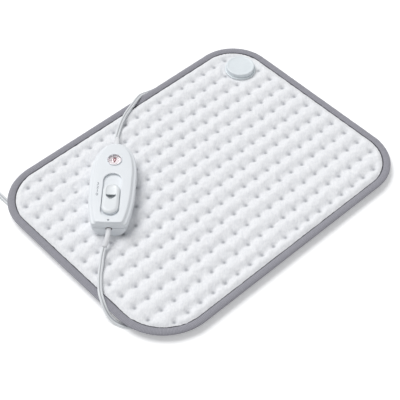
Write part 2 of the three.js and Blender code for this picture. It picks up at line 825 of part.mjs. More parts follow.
// Strain reliefs: an oval sleeve that narrows along a curve, from the size at its root to the size at its tip.
function sleeveAlong(curve, root, tip, sides, steps) {
  const frames = curve.computeFrenetFrames(steps);
  const rings = [];
  for (let i = 0; i <= steps; i++) {
    const share = i / steps;
    const centre = curve.getPointAt(share);
    const width = root[0] + (tip[0] - root[0]) * share;
    const thickness = root[1] + (tip[1] - root[1]) * share;
    rings.push(Array.from({ length: sides }, (_, k) => {
      const angle = (2 * Math.PI * (k + 0.5)) / sides;
      return centre.clone()
        .addScaledVector(frames.binormals[i], (width / 2) * Math.sin(angle))
        .addScaledVector(frames.normals[i], (thickness / 2) * Math.cos(angle)).toArray();
    }));
  }
  return loft(rings);
}

// The controller, in its own frame: X along it from tail to nose, with the number window over the origin

const lowerProfile = controller.lowerShares.map(([z, d]) => [z * controller.height, d * controller.halfWidth]);
const upperProfile = controller.upperShares.map(([z, d]) => [z * controller.height, d * controller.halfWidth]);

function halfWidthAt(s) {
  const behind = (controller.noseStart - s) / (controller.noseStart - controller.tail);
  return controller.halfWidth - (controller.halfWidth - controller.tailHalfWidth) * behind ** controller.tailBend;
}

// The controller's outline at one height, drawn in by inset on its sides and nose and by tailInset at its tail.
function controllerRing(z, inset, tailInset = 0) {
  const points = [];
  for (let k = 0; k <= controller.noseSteps; k++) {
    const angle = Math.PI * (k / controller.noseSteps - 0.5);
    const along = Math.abs(Math.cos(angle)) ** controller.noseRound;
    const across = Math.sign(Math.sin(angle)) * Math.abs(Math.sin(angle)) ** controller.noseRound;
    points.push([controller.noseStart + (controller.noseReach - inset) * along, (controller.halfWidth - inset) * across, z]);
  }
  const end = controller.tail + tailInset;
  const turnAt = end + controller.tailCorner;
  const side = [];
  for (let k = 1; k <= controller.sideSteps; k++) {
    const s = controller.noseStart + ((turnAt - controller.noseStart) * k) / controller.sideSteps;
    side.push([s, halfWidthAt(s) - inset]);
  }
  const centre = halfWidthAt(turnAt) - inset - controller.tailCorner;
  for (const degrees of [120, 150, 180]) {
    const angle = THREE.MathUtils.degToRad(degrees);
    side.push([turnAt + controller.tailCorner * Math.cos(angle), centre + controller.tailCorner * Math.sin(angle)]);
  }
  for (const [s, t] of side) points.push([s, t, z]);
  for (const [s, t] of side.reverse()) points.push([s, -t, z]);
  return points;
}

const insetAt = (z) => {
  const above = lowerProfile.findIndex(([height]) => height >= z);
  if (above < 1) return above < 0 ? 0 : lowerProfile[0][1];
  const [z0, d0] = lowerProfile[above - 1];
  const [z1, d1] = lowerProfile[above];
  return d0 + ((d1 - d0) * (z - z0)) / (z1 - z0);
};

const deck = controller.height;
const deckUnderside = deck - controller.deckThickness;
const recessFloor = deck - recess.depth;
const recessUnderside = recessFloor - recess.floor;
const carrierTop = recessUnderside - clearance;
const carrierBottom = carrierTop - carrier.thickness;
const armTop = carrierBottom + carrier.armThickness;
const stripBottom = armTop + clearance;
const stripTop = stripBottom + strip.thickness;
const lensSeat = deckUnderside - clearance - lens.flangeThickness;
const maskTop = lensSeat - clearance;
const boardTop = board.height + board.thickness;
const onBoard = boardTop + clearance;
const screwPlaces = [
  [screw.noseAt, screw.noseSpread],
  [screw.noseAt, -screw.noseSpread],
  [screw.tailAt, screw.tailSpread],
  [screw.tailAt, -screw.tailSpread],
];
const clampPlaces = [controller.noseClamp, controller.tailClamp];
const leadHeight = controller.leadHeight;
const clampBottom = leadHeight + innerCord.radius + clearance;
const clampSeat = clampBottom - clearance;
const travel = knob.travelStep * knob.steps;
const knobScrewTop = recessFloor + knob.edge;
const guideOuter = carrier.width / 2 + clearance + guide.thickness;
const noseTip = controller.noseStart + controller.noseReach;
const innerTail = controller.tail + controller.wall;

// The hole through the shell's wall that a strain relief's root passes.
function reliefHole(from, to) {
  const halfWide = relief.width / 2 + clearance;
  const halfTall = relief.thickness / 2 + clearance;
  return box([from, -halfWide, leadHeight - halfTall], [to, halfWide, leadHeight + halfTall]);
}

const reliefHoles = () => reliefHole(noseTip - relief.reach, noseTip + overrun)
  .add(reliefHole(controller.tail - overrun, controller.tail + relief.reach));

function housingLower() {
  const outside = loft([...lowerProfile, [controller.parting, 0]].map(([z, d]) => controllerRing(z, d)));
  const hollowRings = [
    [controller.wall, insetAt(controller.wall) + controller.wall],
    ...lowerProfile.filter(([z]) => z > controller.wall * 1.5).map(([z, d]) => [z, d + controller.wall]),
    [controller.parting + overrun, controller.wall],
  ];
  let shell = outside.subtract(loft(hollowRings.map(([z, d]) => controllerRing(z, d, controller.wall))));
  const bosses = [
    ...screwPlaces.map(([s, t]) => post(s, t, screw.lowerBossRadius, 0, screw.meet - clearance, screw.segments)),
    ...clampPlaces.flatMap((s) => [1, -1].map((way) =>
      post(s, way * clamp.postSpread, clamp.postRadius, controller.wall / 2, clampSeat, screw.segments))),
    ...boardPosts.map(([s, t]) => post(s, t, board.postRadius, controller.wall / 2, board.height - clearance, screw.segments)),
  ];
  const upright = outside.add(loft([[controller.parting, controller.wall], [clampSeat + overrun, controller.wall]]
    .map(([z, d]) => controllerRing(z, d, controller.wall))));
  for (const boss of bosses) shell = shell.add(boss.intersect(upright));
  for (const [s, t] of screwPlaces) {
    shell = shell
      .subtract(post(s, t, screw.headRadius + clearance, -overrun, screw.headFloor + screw.headHeight + clearance, screw.segments))
      .subtract(post(s, t, screw.shankRadius + clearance, -overrun, screw.meet + overrun, screw.segments));
  }
  return shell.subtract(reliefHoles());
}

function housingUpper() {
  const rings = [[controller.parting + clearance, 0], ...upperProfile];
  const outside = loft(rings.map(([z, d]) => controllerRing(z, d, d * controller.tailShare)));
  const hollow = loft(controller.hollowShares.map(([z, d]) => [controller.parting + (deckUnderside - controller.parting) * z, d])
    .map(([z, d]) => controllerRing(z, controller.wall + d * controller.halfWidth, controller.wall * (z < deckUnderside ? 1 : 2))));
  const recessWall = pill(recess.tail - controller.innerWall, recess.nose + controller.innerWall, recess.width + controller.innerWall * 2);
  let shell = outside.subtract(hollow)
    .add(prism(recessWall, recessUnderside, deckUnderside + controller.deckThickness / 2));
  const collarOuter = lens.flangeRadius + clearance + lens.collarWall;
  shell = shell.add(post(0, 0, collarOuter, maskTop - lens.maskThickness, deckUnderside + controller.deckThickness / 2, lens.segments));
  for (const way of [1, -1]) {
    const low = way > 0 ? guideOuter - guide.thickness : -guideOuter;
    shell = shell.add(box([carrier.tail, low, recessUnderside - guide.drop], [recess.nose, low + guide.thickness, recessFloor - recess.floor / 2]));
  }
  for (const [s, t] of screwPlaces) {
    shell = shell
      .add(post(s, t, screw.bossRadius, screw.meet, deckUnderside + controller.deckThickness / 2, screw.segments))
      .subtract(post(s, t, screw.shankRadius + clearance, screw.meet - overrun, screw.shankTop + clearance, screw.segments));
  }
  const slotFrom = knob.tail + knob.neckFrom - clearance;
  const slotTo = slotFrom + knob.neckLength + travel + clearance * 2;
  return shell
    .subtract(prism(pill(recess.tail, recess.nose, recess.width, 0, 16), recessFloor, deck + overrun))
    .subtract(prism(pill(slotFrom, slotTo, knob.neckWidth + clearance * 2, 0, 4), recessUnderside - guide.drop, deck))
    .subtract(post(0, 0, lens.flangeRadius + clearance, recessUnderside - guide.drop, deckUnderside, lens.segments))
    .subtract(post(0, 0, lens.holeRadius, deckUnderside - overrun, deck + overrun, lens.segments))
    .subtract(box([spring.from + spring.seat, carrier.width / 2, recessUnderside - guide.drop - overrun],
      [spring.from + spring.length - spring.seat, guideOuter + overrun, recessUnderside]))
    .subtract(reliefHoles());
}

// The slider's knob: a pill with softened top edges, a hollow for the thumb, and a neck through the slot.
function sliderKnob() {
  const bottom = recessFloor + clearance;
  const top = deck + knob.proud;
  const nose = knob.tail + knob.length;
  const level = (inset, z) => pill(knob.tail, nose, knob.width, inset, 10).map(([s, t]) => [s, t, z]);
  const body = loft([level(0, bottom), level(0, deck - knob.slopeFoot), level(knob.slope * knob.slopeShare, deck + knob.proud * 0.45), level(knob.slope, top)]);
  const neckAt = knob.tail + knob.neckFrom;
  const neck = prism(pill(neckAt, neckAt + knob.neckLength, knob.neckWidth, 0, 4), carrierTop + clearance, bottom + knob.edge);
  const scoopNose = nose - knob.scoopRim;
  const scoopTail = scoopNose - knob.scoopLength;
  const floor = top - knob.scoopDepth;
  const cut = slab([
    [scoopTail, top + overrun],
    [scoopTail, floor],
    [scoopTail + knob.scoopFlat, floor],
    [scoopTail + knob.scoopFlat + knob.scoopRise, floor + knob.scoopRiseHeight],
    [scoopNose, top],
    [scoopNose, top + overrun],
  ], knob.width / 2).intersect(prism(pill(scoopTail, scoopNose + knob.scoopWidth / 2, knob.scoopWidth, 0, 8), bottom, top + overrun));
  const screwAt = neckAt + knob.neckLength / 2;
  return body.add(neck).subtract(cut)
    .subtract(post(screwAt, 0, screw.shankRadius + clearance, carrierBottom, knobScrewTop + clearance, screw.segments));
}

function sliderCarrier() {
  const half = carrier.width / 2;
  const outline = [[carrier.tail, -half], [carrier.nose, -half], [carrier.nose, half]];
  const firstNotch = spring.from + spring.length / 2;
  for (let k = 0; k <= knob.steps; k++) {
    const at = firstNotch - k * knob.travelStep;
    outline.push([at + carrier.notchRun / 2, half], [at, half - carrier.notchDepth], [at - carrier.notchRun / 2, half]);
  }
  outline.push([carrier.tail, half]);
  const screwAt = knob.tail + knob.neckFrom + knob.neckLength / 2;
  return prism(outline, carrierBottom, carrierTop)
    .subtract(box([carrier.armStart, -half - overrun, armTop], [carrier.nose + overrun, half + overrun, carrierTop + overrun]))
    .subtract(box([strip.tail + strip.openingMargin, -strip.openingWidth / 2, carrierBottom - overrun],
      [strip.nose - strip.openingMargin, strip.openingWidth / 2, carrierTop + overrun]))
    .subtract(post(screwAt, 0, screw.shankRadius + clearance, carrierBottom - overrun, carrierTop + overrun, screw.segments));
}

function knobScrew() {
  const at = knob.tail + knob.neckFrom + knob.neckLength / 2;
  const headTop = carrierBottom - clearance;
  return turned(at, 0, [
    [0, headTop - screw.headHeight],
    [screw.headRadius, headTop - screw.headHeight],
    [screw.headRadius, headTop],
    [screw.shankRadius, headTop],
    [screw.shankRadius, knobScrewTop],
    [0, knobScrewTop],
  ], screw.segments);
}

function windowLens() {
  const domeFoot = deck + lens.rim;
  const domeTop = deck + lens.proud;
  const profile = [[0, lensSeat], [lens.flangeRadius, lensSeat], [lens.flangeRadius, lensSeat + lens.flangeThickness],
    [lens.bodyRadius, lensSeat + lens.flangeThickness]];
  for (let k = 0; k < lens.domeSteps; k++) {
    const angle = (Math.PI / 2) * (k / lens.domeSteps);
    profile.push([lens.bodyRadius * Math.cos(angle), domeFoot + (domeTop - domeFoot) * Math.sin(angle)]);
  }
  return turned(0, 0, [...profile, [0, domeTop]], lens.segments);
}

function windowMask() {
  const halfLong = lens.maskLength / 2;
  const halfWide = lens.maskWidth / 2;
  return post(0, 0, lens.flangeRadius, maskTop - lens.maskThickness, maskTop, lens.segments)
    .subtract(box([-halfLong, -halfWide, stripTop], [halfLong, halfWide, maskTop + overrun]));
}

const boardPosts = [board.tail + board.postInset, board.nose - board.postInset]
  .flatMap((s) => [1, -1].map((way) => [s, way * (board.width / 2 - board.postInset)]));

// A component that stands on the board: a body with two legs, which reach the board.
function standing(s, t, [long, wide, tall]) {
  return box([s - long / 2, t - wide / 2, onBoard], [s + long / 2, t + wide / 2, onBoard + tall]);
}

// A component that lies along the board on two bent leads.
function lying(s, t, length, radius) {
  const centre = onBoard + radius;
  return rod(s - length / 2, s + length / 2, t, centre, radius, small.segments)
    .add(rod(s - length / 2 - small.lead, s + length / 2 + small.lead, t, centre, small.leadRadius, small.leadSides));
}

// The bridge: a thin strip bent from under the carrier down to the two rails.
function contactBridge() {
  const top = carrierBottom - clearance;
  const foot = onBoard + rail.thickness + clearance;
  const from = rail.from + bridge.foot;
  const drop = top - foot;
  return slab([
    [from, foot],
    [from + bridge.foot, foot],
    [from + bridge.foot + bridge.lean, top - bridge.thickness],
    [from + bridge.foot * 2 + bridge.lean, top - bridge.thickness],
    [from + bridge.foot * 2 + bridge.lean, top],
    [from + bridge.foot + bridge.lean - bridge.thickness, top],
    [from + bridge.foot - bridge.thickness * (1 - bridge.lean / drop), foot + bridge.thickness],
    [from, foot + bridge.thickness],
  ], bridge.width / 2);
}

// The detent spring: a leaf that bows in through a gap in the guide, towards the notches.
function detentSpring() {
  const ends = guideOuter + clearance;
  const middle = carrier.width / 2 + spring.gap;
  const leaf = (t) => [[spring.from, ends + t], [spring.from + spring.seat, ends + t],
    [spring.from + spring.length / 2 - spring.crown / 2, middle + t], [spring.from + spring.length / 2 + spring.crown / 2, middle + t],
    [spring.from + spring.length - spring.seat, ends + t], [spring.from + spring.length, ends + t]];
  return prism([...leaf(0), ...leaf(spring.thickness).reverse()], carrierBottom, carrierBottom + spring.height);
}

function housingScrew(s, t) {
  return turned(s, t, [
    [0, screw.headFloor],
    [screw.headRadius, screw.headFloor],
    [screw.headRadius, screw.headFloor + screw.headHeight],
    [screw.shankRadius, screw.headFloor + screw.headHeight],
    [screw.shankRadius, screw.shankTop],
    [0, screw.shankTop],
  ], screw.segments);
}

// A relief's line outside the shell: way is 1 at the nose and -1 at the tail.
function reliefCurve(way) {
  const root = way > 0 ? noseTip : controller.tail;
  const side = way > 0 ? relief.noseSide : relief.tailSide;
  return cordCurve(relief.lineShares.map(([along, down]) => [
    root + way * relief.length * along,
    side * down,
    leadHeight - relief.drop * down,
  ]));
}

function controllerRelief(way) {
  const curve = reliefCurve(way);
  const sleeve = sleeveAlong(curve, [relief.width, relief.thickness], [relief.tipWidth, relief.tipThickness], relief.sides, relief.steps);
  const root = way > 0 ? noseTip : controller.tail;
  const seat = way > 0 ? noseTip - controller.wall - relief.seatIn : innerTail + clearance;
  const flangeFrom = way > 0 ? seat - relief.flangeDepth : seat;
  const flange = box([flangeFrom, -relief.flangeWidth / 2, leadHeight - relief.flangeHeight / 2],
    [flangeFrom + relief.flangeDepth, relief.flangeWidth / 2, leadHeight + relief.flangeHeight / 2]);
  const neck = sleeveAlong(cordCurve([[seat - way * relief.flangeDepth / 2, 0, leadHeight], [root + way * clearance, 0, leadHeight]]),
    [relief.width, relief.thickness], [relief.width, relief.thickness], relief.sides, 1);
  return sleeve.add(neck).add(flange);
}

// The two leads inside the shell, from each relief down to the board.
function innerLead(way) {
  const start = way > 0
    ? noseTip - controller.wall - relief.seatIn - relief.flangeDepth - clearance
    : innerTail + relief.flangeDepth + clearance * 2;
  const end = (way > 0 ? board.nose : board.tail) - way * innerCord.landing;
  const curve = cordCurve(innerCord.lineShares.map(([along, down]) => [
    start + (end - start) * along,
    0,
    leadHeight - (leadHeight - onBoard - innerCord.radius) * down,
  ]));
  return sweep(curve, innerCord.radius * 2, innerCord.radius * 2, innerCord.sides, innerCord.steps);
}

function clampBar(s) {
  return box([s - clamp.width / 2, -clamp.length / 2, clampBottom], [s + clamp.width / 2, clamp.length / 2, clampBottom + clamp.thickness]);
}

// The cords

const axisAngle = THREE.MathUtils.degToRad(controller.axisAngle);
const toPad = (v) => v.clone().applyAxisAngle(new THREE.Vector3(0, 0, 1), axisAngle)
  .add(new THREE.Vector3(controllerX, controllerY, controllerSeat));

// The first points of a cord that leaves a sleeve's tip: straight on for one width.
function leaving(curve, place) {
  const tip = curve.getPointAt(1);
  const way = curve.getTangentAt(1);
  return [clearance, clearance + cord.width].map((reach) => place(tip.clone().addScaledVector(way, reach)).toArray());
}

const coilStart = coilX + coil.outerRadius;
const coilFoot = coil.lift + cord.thickness / 2;
const coilTop = coilFoot + coil.layerPitch;

const padCurve = cordCurve([
  ...leaving(reliefCurve(1), toPad),
  ...padLeadPoints,
  ...leaving(entryReliefCurve, (v) => v).reverse(),
]);
const mainsCurve = cordCurve([
  ...leaving(reliefCurve(-1), toPad),
  ...mainsLeadPoints,
  [coilStart, coilY - cord.width * 2, coilFoot],
  [coilStart, coilY - cord.width - clearance, coilFoot],
]);

// The coil, ring by ring, with a straight cord's width at either end.
function coilRings() {
  const steps = Math.round(coil.stepsPerTurn * coil.turnsDown * 2);
  const rings = [];
  const ring = (centre, way, side) => {
    const up = way.clone().cross(side);
    return Array.from({ length: coil.sides }, (_, k) => {
      const angle = (2 * Math.PI * (k + 0.5)) / coil.sides;
      return centre.clone()
        .addScaledVector(side, (cord.width / 2) * Math.sin(angle))
        .addScaledVector(up, (cord.thickness / 2) * Math.cos(angle)).toArray();
    });
  };
  const ahead = new THREE.Vector3(0, 1, 0);
  const across = new THREE.Vector3(-1, 0, 0);
  rings.push(ring(new THREE.Vector3(coilStart, coilY - cord.width, coilFoot), ahead, across));
  for (let i = 0; i <= steps; i++) {
    const turns = (i / steps) * coil.turnsDown * 2;
    const inward = coil.turnsDown - Math.abs(turns - coil.turnsDown);
    const radius = coil.outerRadius - coil.pitch * inward;
    const climb = THREE.MathUtils.clamp((turns - coil.turnsDown) * 2 + 0.5, 0, 1);
    const angle = 2 * Math.PI * turns;
    const outward = new THREE.Vector3(Math.cos(angle), Math.sin(angle), 0);
    const centre = outward.clone().multiplyScalar(radius).add(new THREE.Vector3(coilX, coilY, coilFoot + climb * coil.layerPitch));
    rings.push(ring(centre, new THREE.Vector3(-outward.y, outward.x, 0), outward.clone().negate()));
  }
  rings.push(ring(new THREE.Vector3(coilStart, coilY + cord.width, coilTop), ahead, across));
  return rings;
}

// The least distance between parts of the coil that are more than a quarter turn apart, on points along its edges.
function leastGap(rings) {
  const dense = rings.slice(1).map((ring, r) => ring.flatMap((p, k) => {
    const q = ring[(k + 1) % ring.length];
    const before = rings[r][k];
    return [p, p.map((v, i) => (v + q[i]) / 2), p.map((v, i) => (v + before[i]) / 2)];
  }));
  const apart = Math.round(coil.stepsPerTurn / 4);
  let least = Infinity;
  for (let a = 0; a < dense.length; a++) {
    for (let b = a + apart; b < dense.length; b++) {
      for (const p of dense[a]) for (const q of dense[b]) {
        least = Math.min(least, Math.hypot(p[0] - q[0], p[1] - q[1], p[2] - q[2]));
      }
    }
  }
  return least;
}

// The tie: a flat band round all the turns at one place.
function coilTie() {
  const turnsAt = (n) => coil.outerRadius - coil.pitch * (coil.turnsDown - Math.abs(n + tie.turnShare - coil.turnsDown));
  const reached = Array.from({ length: Math.floor(coil.turnsDown * 2) }, (_, n) => turnsAt(n));
  const inside = Math.min(...reached) - cord.width / 2 - tie.sideGap;
  const outside = Math.max(...reached) + cord.width / 2 + tie.sideGap;
  const below = coil.lift - tie.gap;
  const above = coilTop + cord.thickness / 2 + tie.gap;
  const ringShape = (grow) => {
    const low = [inside - grow, below - grow];
    const high = [outside + grow, above + grow];
    const cut = tie.corner + grow;
    return [[low[0] + cut, low[1]], [high[0] - cut, low[1]], [high[0], low[1] + cut], [high[0], high[1] - cut],
      [high[0] - cut, high[1]], [low[0] + cut, high[1]], [low[0], high[1] - cut], [low[0], low[1] + cut]];
  };
  return slab(ringShape(tie.thickness), tie.width / 2).subtract(slab(ringShape(0), tie.width));
}

// The plug, in its own frame: X runs from the cord to the pins, and the pins' axes lie at height zero.
const plugRoot = plug.reliefLength + clearance;
const pinFace = plugRoot + plug.length;

function plugRing(x, width, height, lift) {
  return Array.from({ length: plug.sides }, (_, k) => {
    const angle = (2 * Math.PI * (k + 0.5)) / plug.sides;
    const round = (v) => Math.sign(v) * Math.abs(v) ** plug.roundShare;
    return [x, (width / 2) * round(Math.cos(angle)), lift + (height / 2) * round(Math.sin(angle))];
  });
}

function plugBody() {
  const body = loft(plug.bodyShares.map(([along, wide, high]) =>
    plugRing(plugRoot + plug.length * along, plug.width * wide, plug.height * high, 0)));
  return [1, -1].reduce((solid, way) => solid.subtract(
    rod(pinFace - plug.pinSocket, pinFace + overrun, (way * plug.pinSpacing) / 2, 0, plug.pinRadius + clearance, plug.pinSides)), body);
}

const plugPin = (way) => rod(pinFace - plug.pinSocket + clearance, pinFace + plug.pinLength,
  (way * plug.pinSpacing) / 2, 0, plug.pinRadius, plug.pinSides);

function plugRelief() {
  const drop = plug.axisHeight - coilTop;
  return loft([
    plugRing(0, plug.reliefTipWidth, plug.reliefTipHeight, -drop),
    plugRing(plug.reliefLength / 2, (plug.reliefTipWidth + plug.reliefWidth) / 2, (plug.reliefTipHeight + plug.reliefHeight) / 2, -drop / 2),
    plugRing(plug.reliefLength, plug.reliefWidth, plug.reliefHeight, 0),
  ]);
}

// Assembly

const looks = {
  fleece: { color: 0xf3f4f6, roughness: 0.95, metalness: 0 },
  trim: { color: 0x9a9ba6, roughness: 0.8, metalness: 0 },
  felt: { color: 0xe9e9e6, roughness: 1, metalness: 0 },
  element: { color: 0xd8d2c4, roughness: 0.6, metalness: 0 },
  shell: { color: 0xe4e8ee, roughness: 0.35, metalness: 0 },
  knob: { color: 0xeef1f5, roughness: 0.3, metalness: 0 },
  entry: { color: 0xdfe9ee, roughness: 0.3, metalness: 0 },
  flex: { color: 0xeeeeec, roughness: 0.5, metalness: 0 },
  dark: { color: 0x2a2a2c, roughness: 0.6, metalness: 0 },
  lens: { color: 0xe9e4e8, roughness: 0.1, metalness: 0 },
  strip: { color: 0xf6efef, roughness: 0.6, metalness: 0 },
  board: { color: 0x2f6b3a, roughness: 0.6, metalness: 0 },
  component: { color: 0xc9a23c, roughness: 0.5, metalness: 0 },
  lamp: { color: 0xd03a35, roughness: 0.2, metalness: 0 },
  steel: { color: 0xb4b6ba, roughness: 0.35, metalness: 1 },
  brass: { color: 0xc6a860, roughness: 0.35, metalness: 1 },
};

const group = new THREE.Group();
const handset = new THREE.Group();
const slider = new THREE.Group();
const plugGroup = new THREE.Group();
handset.position.set(controllerX, controllerY, controllerSeat);
handset.rotation.z = axisAngle;
plugGroup.position.set(coilStart, coilY + cord.width + clearance, plug.axisHeight);
plugGroup.rotation.z = Math.PI / 2;
group.add(handset, plugGroup);
handset.add(slider);

function addTo(owner, name, solid, look) {
  const mesh = new THREE.Mesh(geometryOf(solid), new THREE.MeshStandardMaterial(looks[look]));
  mesh.name = name;
  owner.add(mesh);
  return mesh;
}

const fabric = padPieces();
addTo(group, 'back_cover', fabric.back, 'fleece');
addTo(group, 'element_carrier', fabric.feltSheet, 'felt');
addTo(group, 'heating_wire', fabric.wire, 'element');
fabric.cutouts.forEach((solid, k) => addTo(group, `thermal_cutout_${k + 1}`, solid, 'element'));
addTo(group, 'quilted_cover', fabric.cover, 'fleece');
addTo(group, 'edge_binding', fabric.binding, 'trim');

const lead = entryPieces();
addTo(group, 'entry_base', lead.base, 'entry');
addTo(group, 'entry_cap', lead.cap, 'entry');
addTo(group, 'entry_terminal', lead.terminal, 'strip');
lead.screws.forEach((solid, k) => addTo(group, `entry_screw_${k + 1}`, solid, 'steel'));
addTo(group, 'entry_strain_relief', sleeveAlong(entryReliefCurve, [relief.width, entry.reliefThickness],
  [relief.tipWidth, relief.tipThickness], relief.sides, relief.steps), 'flex');

addTo(handset, 'housing_lower', housingLower(), 'shell');
addTo(handset, 'housing_upper', housingUpper(), 'shell');
addTo(handset, 'window_lens', windowLens(), 'lens');
addTo(handset, 'window_mask', windowMask(), 'dark');
addTo(handset, 'circuit_board', box([board.tail, -board.width / 2, board.height], [board.nose, board.width / 2, boardTop]), 'board');
addTo(handset, 'film_capacitor', standing(...small.capacitorAt, small.capacitor), 'component');
addTo(handset, 'triac', standing(...small.triacAt, small.triac), 'dark');
addTo(handset, 'fuse', lying(...small.fuseAt, small.fuseLength, small.fuseRadius), 'lens');
addTo(handset, 'resistor', lying(...small.resistorAt, small.resistorLength, small.resistorRadius), 'component');
addTo(handset, 'indicator_lamp', post(0, 0, small.lampRadius, onBoard, onBoard + small.lampHeight, screw.segments), 'lamp');
[1, -1].forEach((way, k) => addTo(handset, `contact_rail_${k + 1}`, box(
  [rail.from, way * rail.spread - rail.width / 2, onBoard],
  [rail.from + rail.length, way * rail.spread + rail.width / 2, onBoard + rail.thickness],
), 'brass'));
addTo(handset, 'detent_spring', detentSpring(), 'steel');
screwPlaces.forEach((place, k) => addTo(handset, `housing_screw_${k + 1}`, housingScrew(...place), 'steel'));
addTo(handset, 'nose_strain_relief', controllerRelief(1), 'flex');
addTo(handset, 'tail_strain_relief', controllerRelief(-1), 'flex');
addTo(handset, 'nose_inner_lead', innerLead(1), 'flex');
addTo(handset, 'tail_inner_lead', innerLead(-1), 'flex');
addTo(handset, 'nose_cord_clamp', clampBar(controller.noseClamp), 'shell');
addTo(handset, 'tail_cord_clamp', clampBar(controller.tailClamp), 'shell');

addTo(slider, 'slider_knob', sliderKnob(), 'knob');
addTo(slider, 'slider_carrier', sliderCarrier(), 'strip');
addTo(slider, 'slider_screw', knobScrew(), 'steel');
addTo(slider, 'number_strip', box([strip.tail, -strip.width / 2, stripBottom], [strip.nose, strip.width / 2, stripTop]), 'strip');
addTo(slider, 'contact_bridge', contactBridge(), 'brass');

const rings = coilRings();
console.log(`mains_coil: least gap to itself ${leastGap(rings).toFixed(2)} mm`);
addTo(group, 'pad_lead', sweep(padCurve, cord.width, cord.thickness, cord.sides, padSteps), 'flex');
addTo(group, 'mains_lead', sweep(mainsCurve, cord.width, cord.thickness, cord.sides, mainsSteps), 'flex');
addTo(group, 'mains_coil', loft(rings), 'flex');
const tieMesh = addTo(group, 'coil_tie', coilTie(), 'dark');
tieMesh.position.set(coilX, coilY, 0);
tieMesh.rotation.z = 2 * Math.PI * tie.turnShare;

addTo(plugGroup, 'plug_strain_relief', plugRelief(), 'flex');
addTo(plugGroup, 'plug_body', plugBody(), 'flex');
addTo(plugGroup, 'plug_pin_1', plugPin(1), 'steel');
addTo(plugGroup, 'plug_pin_2', plugPin(-1), 'steel');

export default group;
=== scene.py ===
import bmesh
import bpy
import math
import random
from mathutils import Matrix, Vector, noise


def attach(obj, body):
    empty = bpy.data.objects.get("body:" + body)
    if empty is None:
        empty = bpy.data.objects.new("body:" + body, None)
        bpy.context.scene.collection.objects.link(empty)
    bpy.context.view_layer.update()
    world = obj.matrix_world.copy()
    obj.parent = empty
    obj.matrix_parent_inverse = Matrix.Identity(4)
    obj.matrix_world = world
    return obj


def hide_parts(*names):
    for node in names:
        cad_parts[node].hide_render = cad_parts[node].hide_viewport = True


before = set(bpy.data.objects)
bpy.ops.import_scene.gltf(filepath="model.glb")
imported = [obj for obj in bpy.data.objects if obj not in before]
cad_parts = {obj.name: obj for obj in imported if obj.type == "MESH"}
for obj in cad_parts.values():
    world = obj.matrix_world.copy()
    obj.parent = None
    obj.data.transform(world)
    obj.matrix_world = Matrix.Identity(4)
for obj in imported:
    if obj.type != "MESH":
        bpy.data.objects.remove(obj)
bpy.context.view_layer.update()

# Lengths below are in millimetres and angles, where a name says so, in degrees
mm = 0.001
hair = 0.001
farAway = 99.0
crease = 32
fixedBody = "pad_and_controller"
print("frame loaded:", len(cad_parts), "solids")


# Helpers for pieces; an edge turned by more than crease degrees is drawn sharp

def clearSelection():
    active = bpy.context.view_layer.objects.active
    if active and active.mode != "OBJECT":
        bpy.ops.object.mode_set(mode="OBJECT")
    bpy.ops.object.select_all(action="DESELECT")


def makeActive(piece):
    clearSelection()
    piece.select_set(True)
    bpy.context.view_layer.objects.active = piece


def smoothByAngle(piece, degrees):
    makeActive(piece)
    bpy.ops.object.shade_smooth_by_angle(angle=math.radians(degrees))


def startEdit(piece, action="SELECT"):
    makeActive(piece)
    bpy.ops.object.mode_set(mode="EDIT")
    bpy.ops.mesh.select_all(action=action)


# Turns every face outward and leaves edit mode
def endEdit():
    bpy.ops.mesh.select_all(action="SELECT")
    bpy.ops.mesh.normals_make_consistent(inside=False)
    bpy.ops.object.mode_set(mode="OBJECT")


# A smooth mesh from points in millimetres
def meshPiece(name, points, faces):
    mesh = bpy.data.meshes.new(name)
    mesh.from_pydata([(x * mm, y * mm, z * mm) for x, y, z in points], [], faces)
    mesh.update()
    piece = bpy.data.objects.new(name, mesh)
    bpy.context.scene.collection.objects.link(piece)
    mesh.polygons.foreach_set("use_smooth", [True] * len(mesh.polygons))
    return piece


def nearKey(p):
    return (round(p[0], 7), round(p[1], 7), round(p[2], 7))


# Draws the first ring as a circle, then extrudes it ring by ring; an end is left open, filled flat or drawn to a point.
def loftPiece(name, rings, start="fill", end="fill", sharp=crease):
    scaled = [[Vector(p) * mm for p in ring] for ring in rings]
    clearSelection()
    bpy.ops.mesh.primitive_circle_add(vertices=len(rings[0]), radius=0.01, fill_type="NOTHING")
    piece = bpy.context.object
    piece.name = name
    piece.data.name = name
    for v, p in zip(piece.data.vertices, scaled[0]):
        v.co = p
    startEdit(piece)
    for before, after in zip(scaled, scaled[1:]):
        bpy.ops.mesh.extrude_region_move()
        place = {nearKey(p): q for p, q in zip(before, after)}
        grown = bmesh.from_edit_mesh(piece.data)
        for v in grown.verts:
            if v.select:
                v.co = place[nearKey(v.co)]
        bmesh.update_edit_mesh(piece.data)
    for way, ring in ((end, scaled[-1]), (start, scaled[0])):
        if way == "open":
            continue
        keys = {nearKey(p) for p in ring}
        bpy.ops.mesh.select_all(action="DESELECT")
        grown = bmesh.from_edit_mesh(piece.data)
        for v in grown.verts:
            v.select_set(nearKey(v.co) in keys)
        grown.select_flush(True)
        bmesh.update_edit_mesh(piece.data)
        if way == "point":
            bpy.ops.mesh.merge(type="CENTER")
        else:
            bpy.ops.mesh.edge_face_add()
    endEdit()
    smoothByAngle(piece, sharp)
    return piece


# Rings of a turned piece, from its profile of radius and height over base
def turnedRings(x, y, base, profile, count):
    return [circleRing(x, y, radius, base + z, count) for radius, z in profile]


def circleRing(x, y, radius, z, count):
    turns = [2 * math.pi * k / count for k in range(count)]
    return [(x + radius * math.cos(a), y + radius * math.sin(a), z) for a in turns]


def applied(piece, kind, **settings):
    makeActive(piece)
    made = piece.modifiers.new(kind.lower(), kind)
    for key, value in settings.items():
        setattr(made, key, value)
    bpy.ops.object.modifier_apply(modifier=made.name)
    return piece


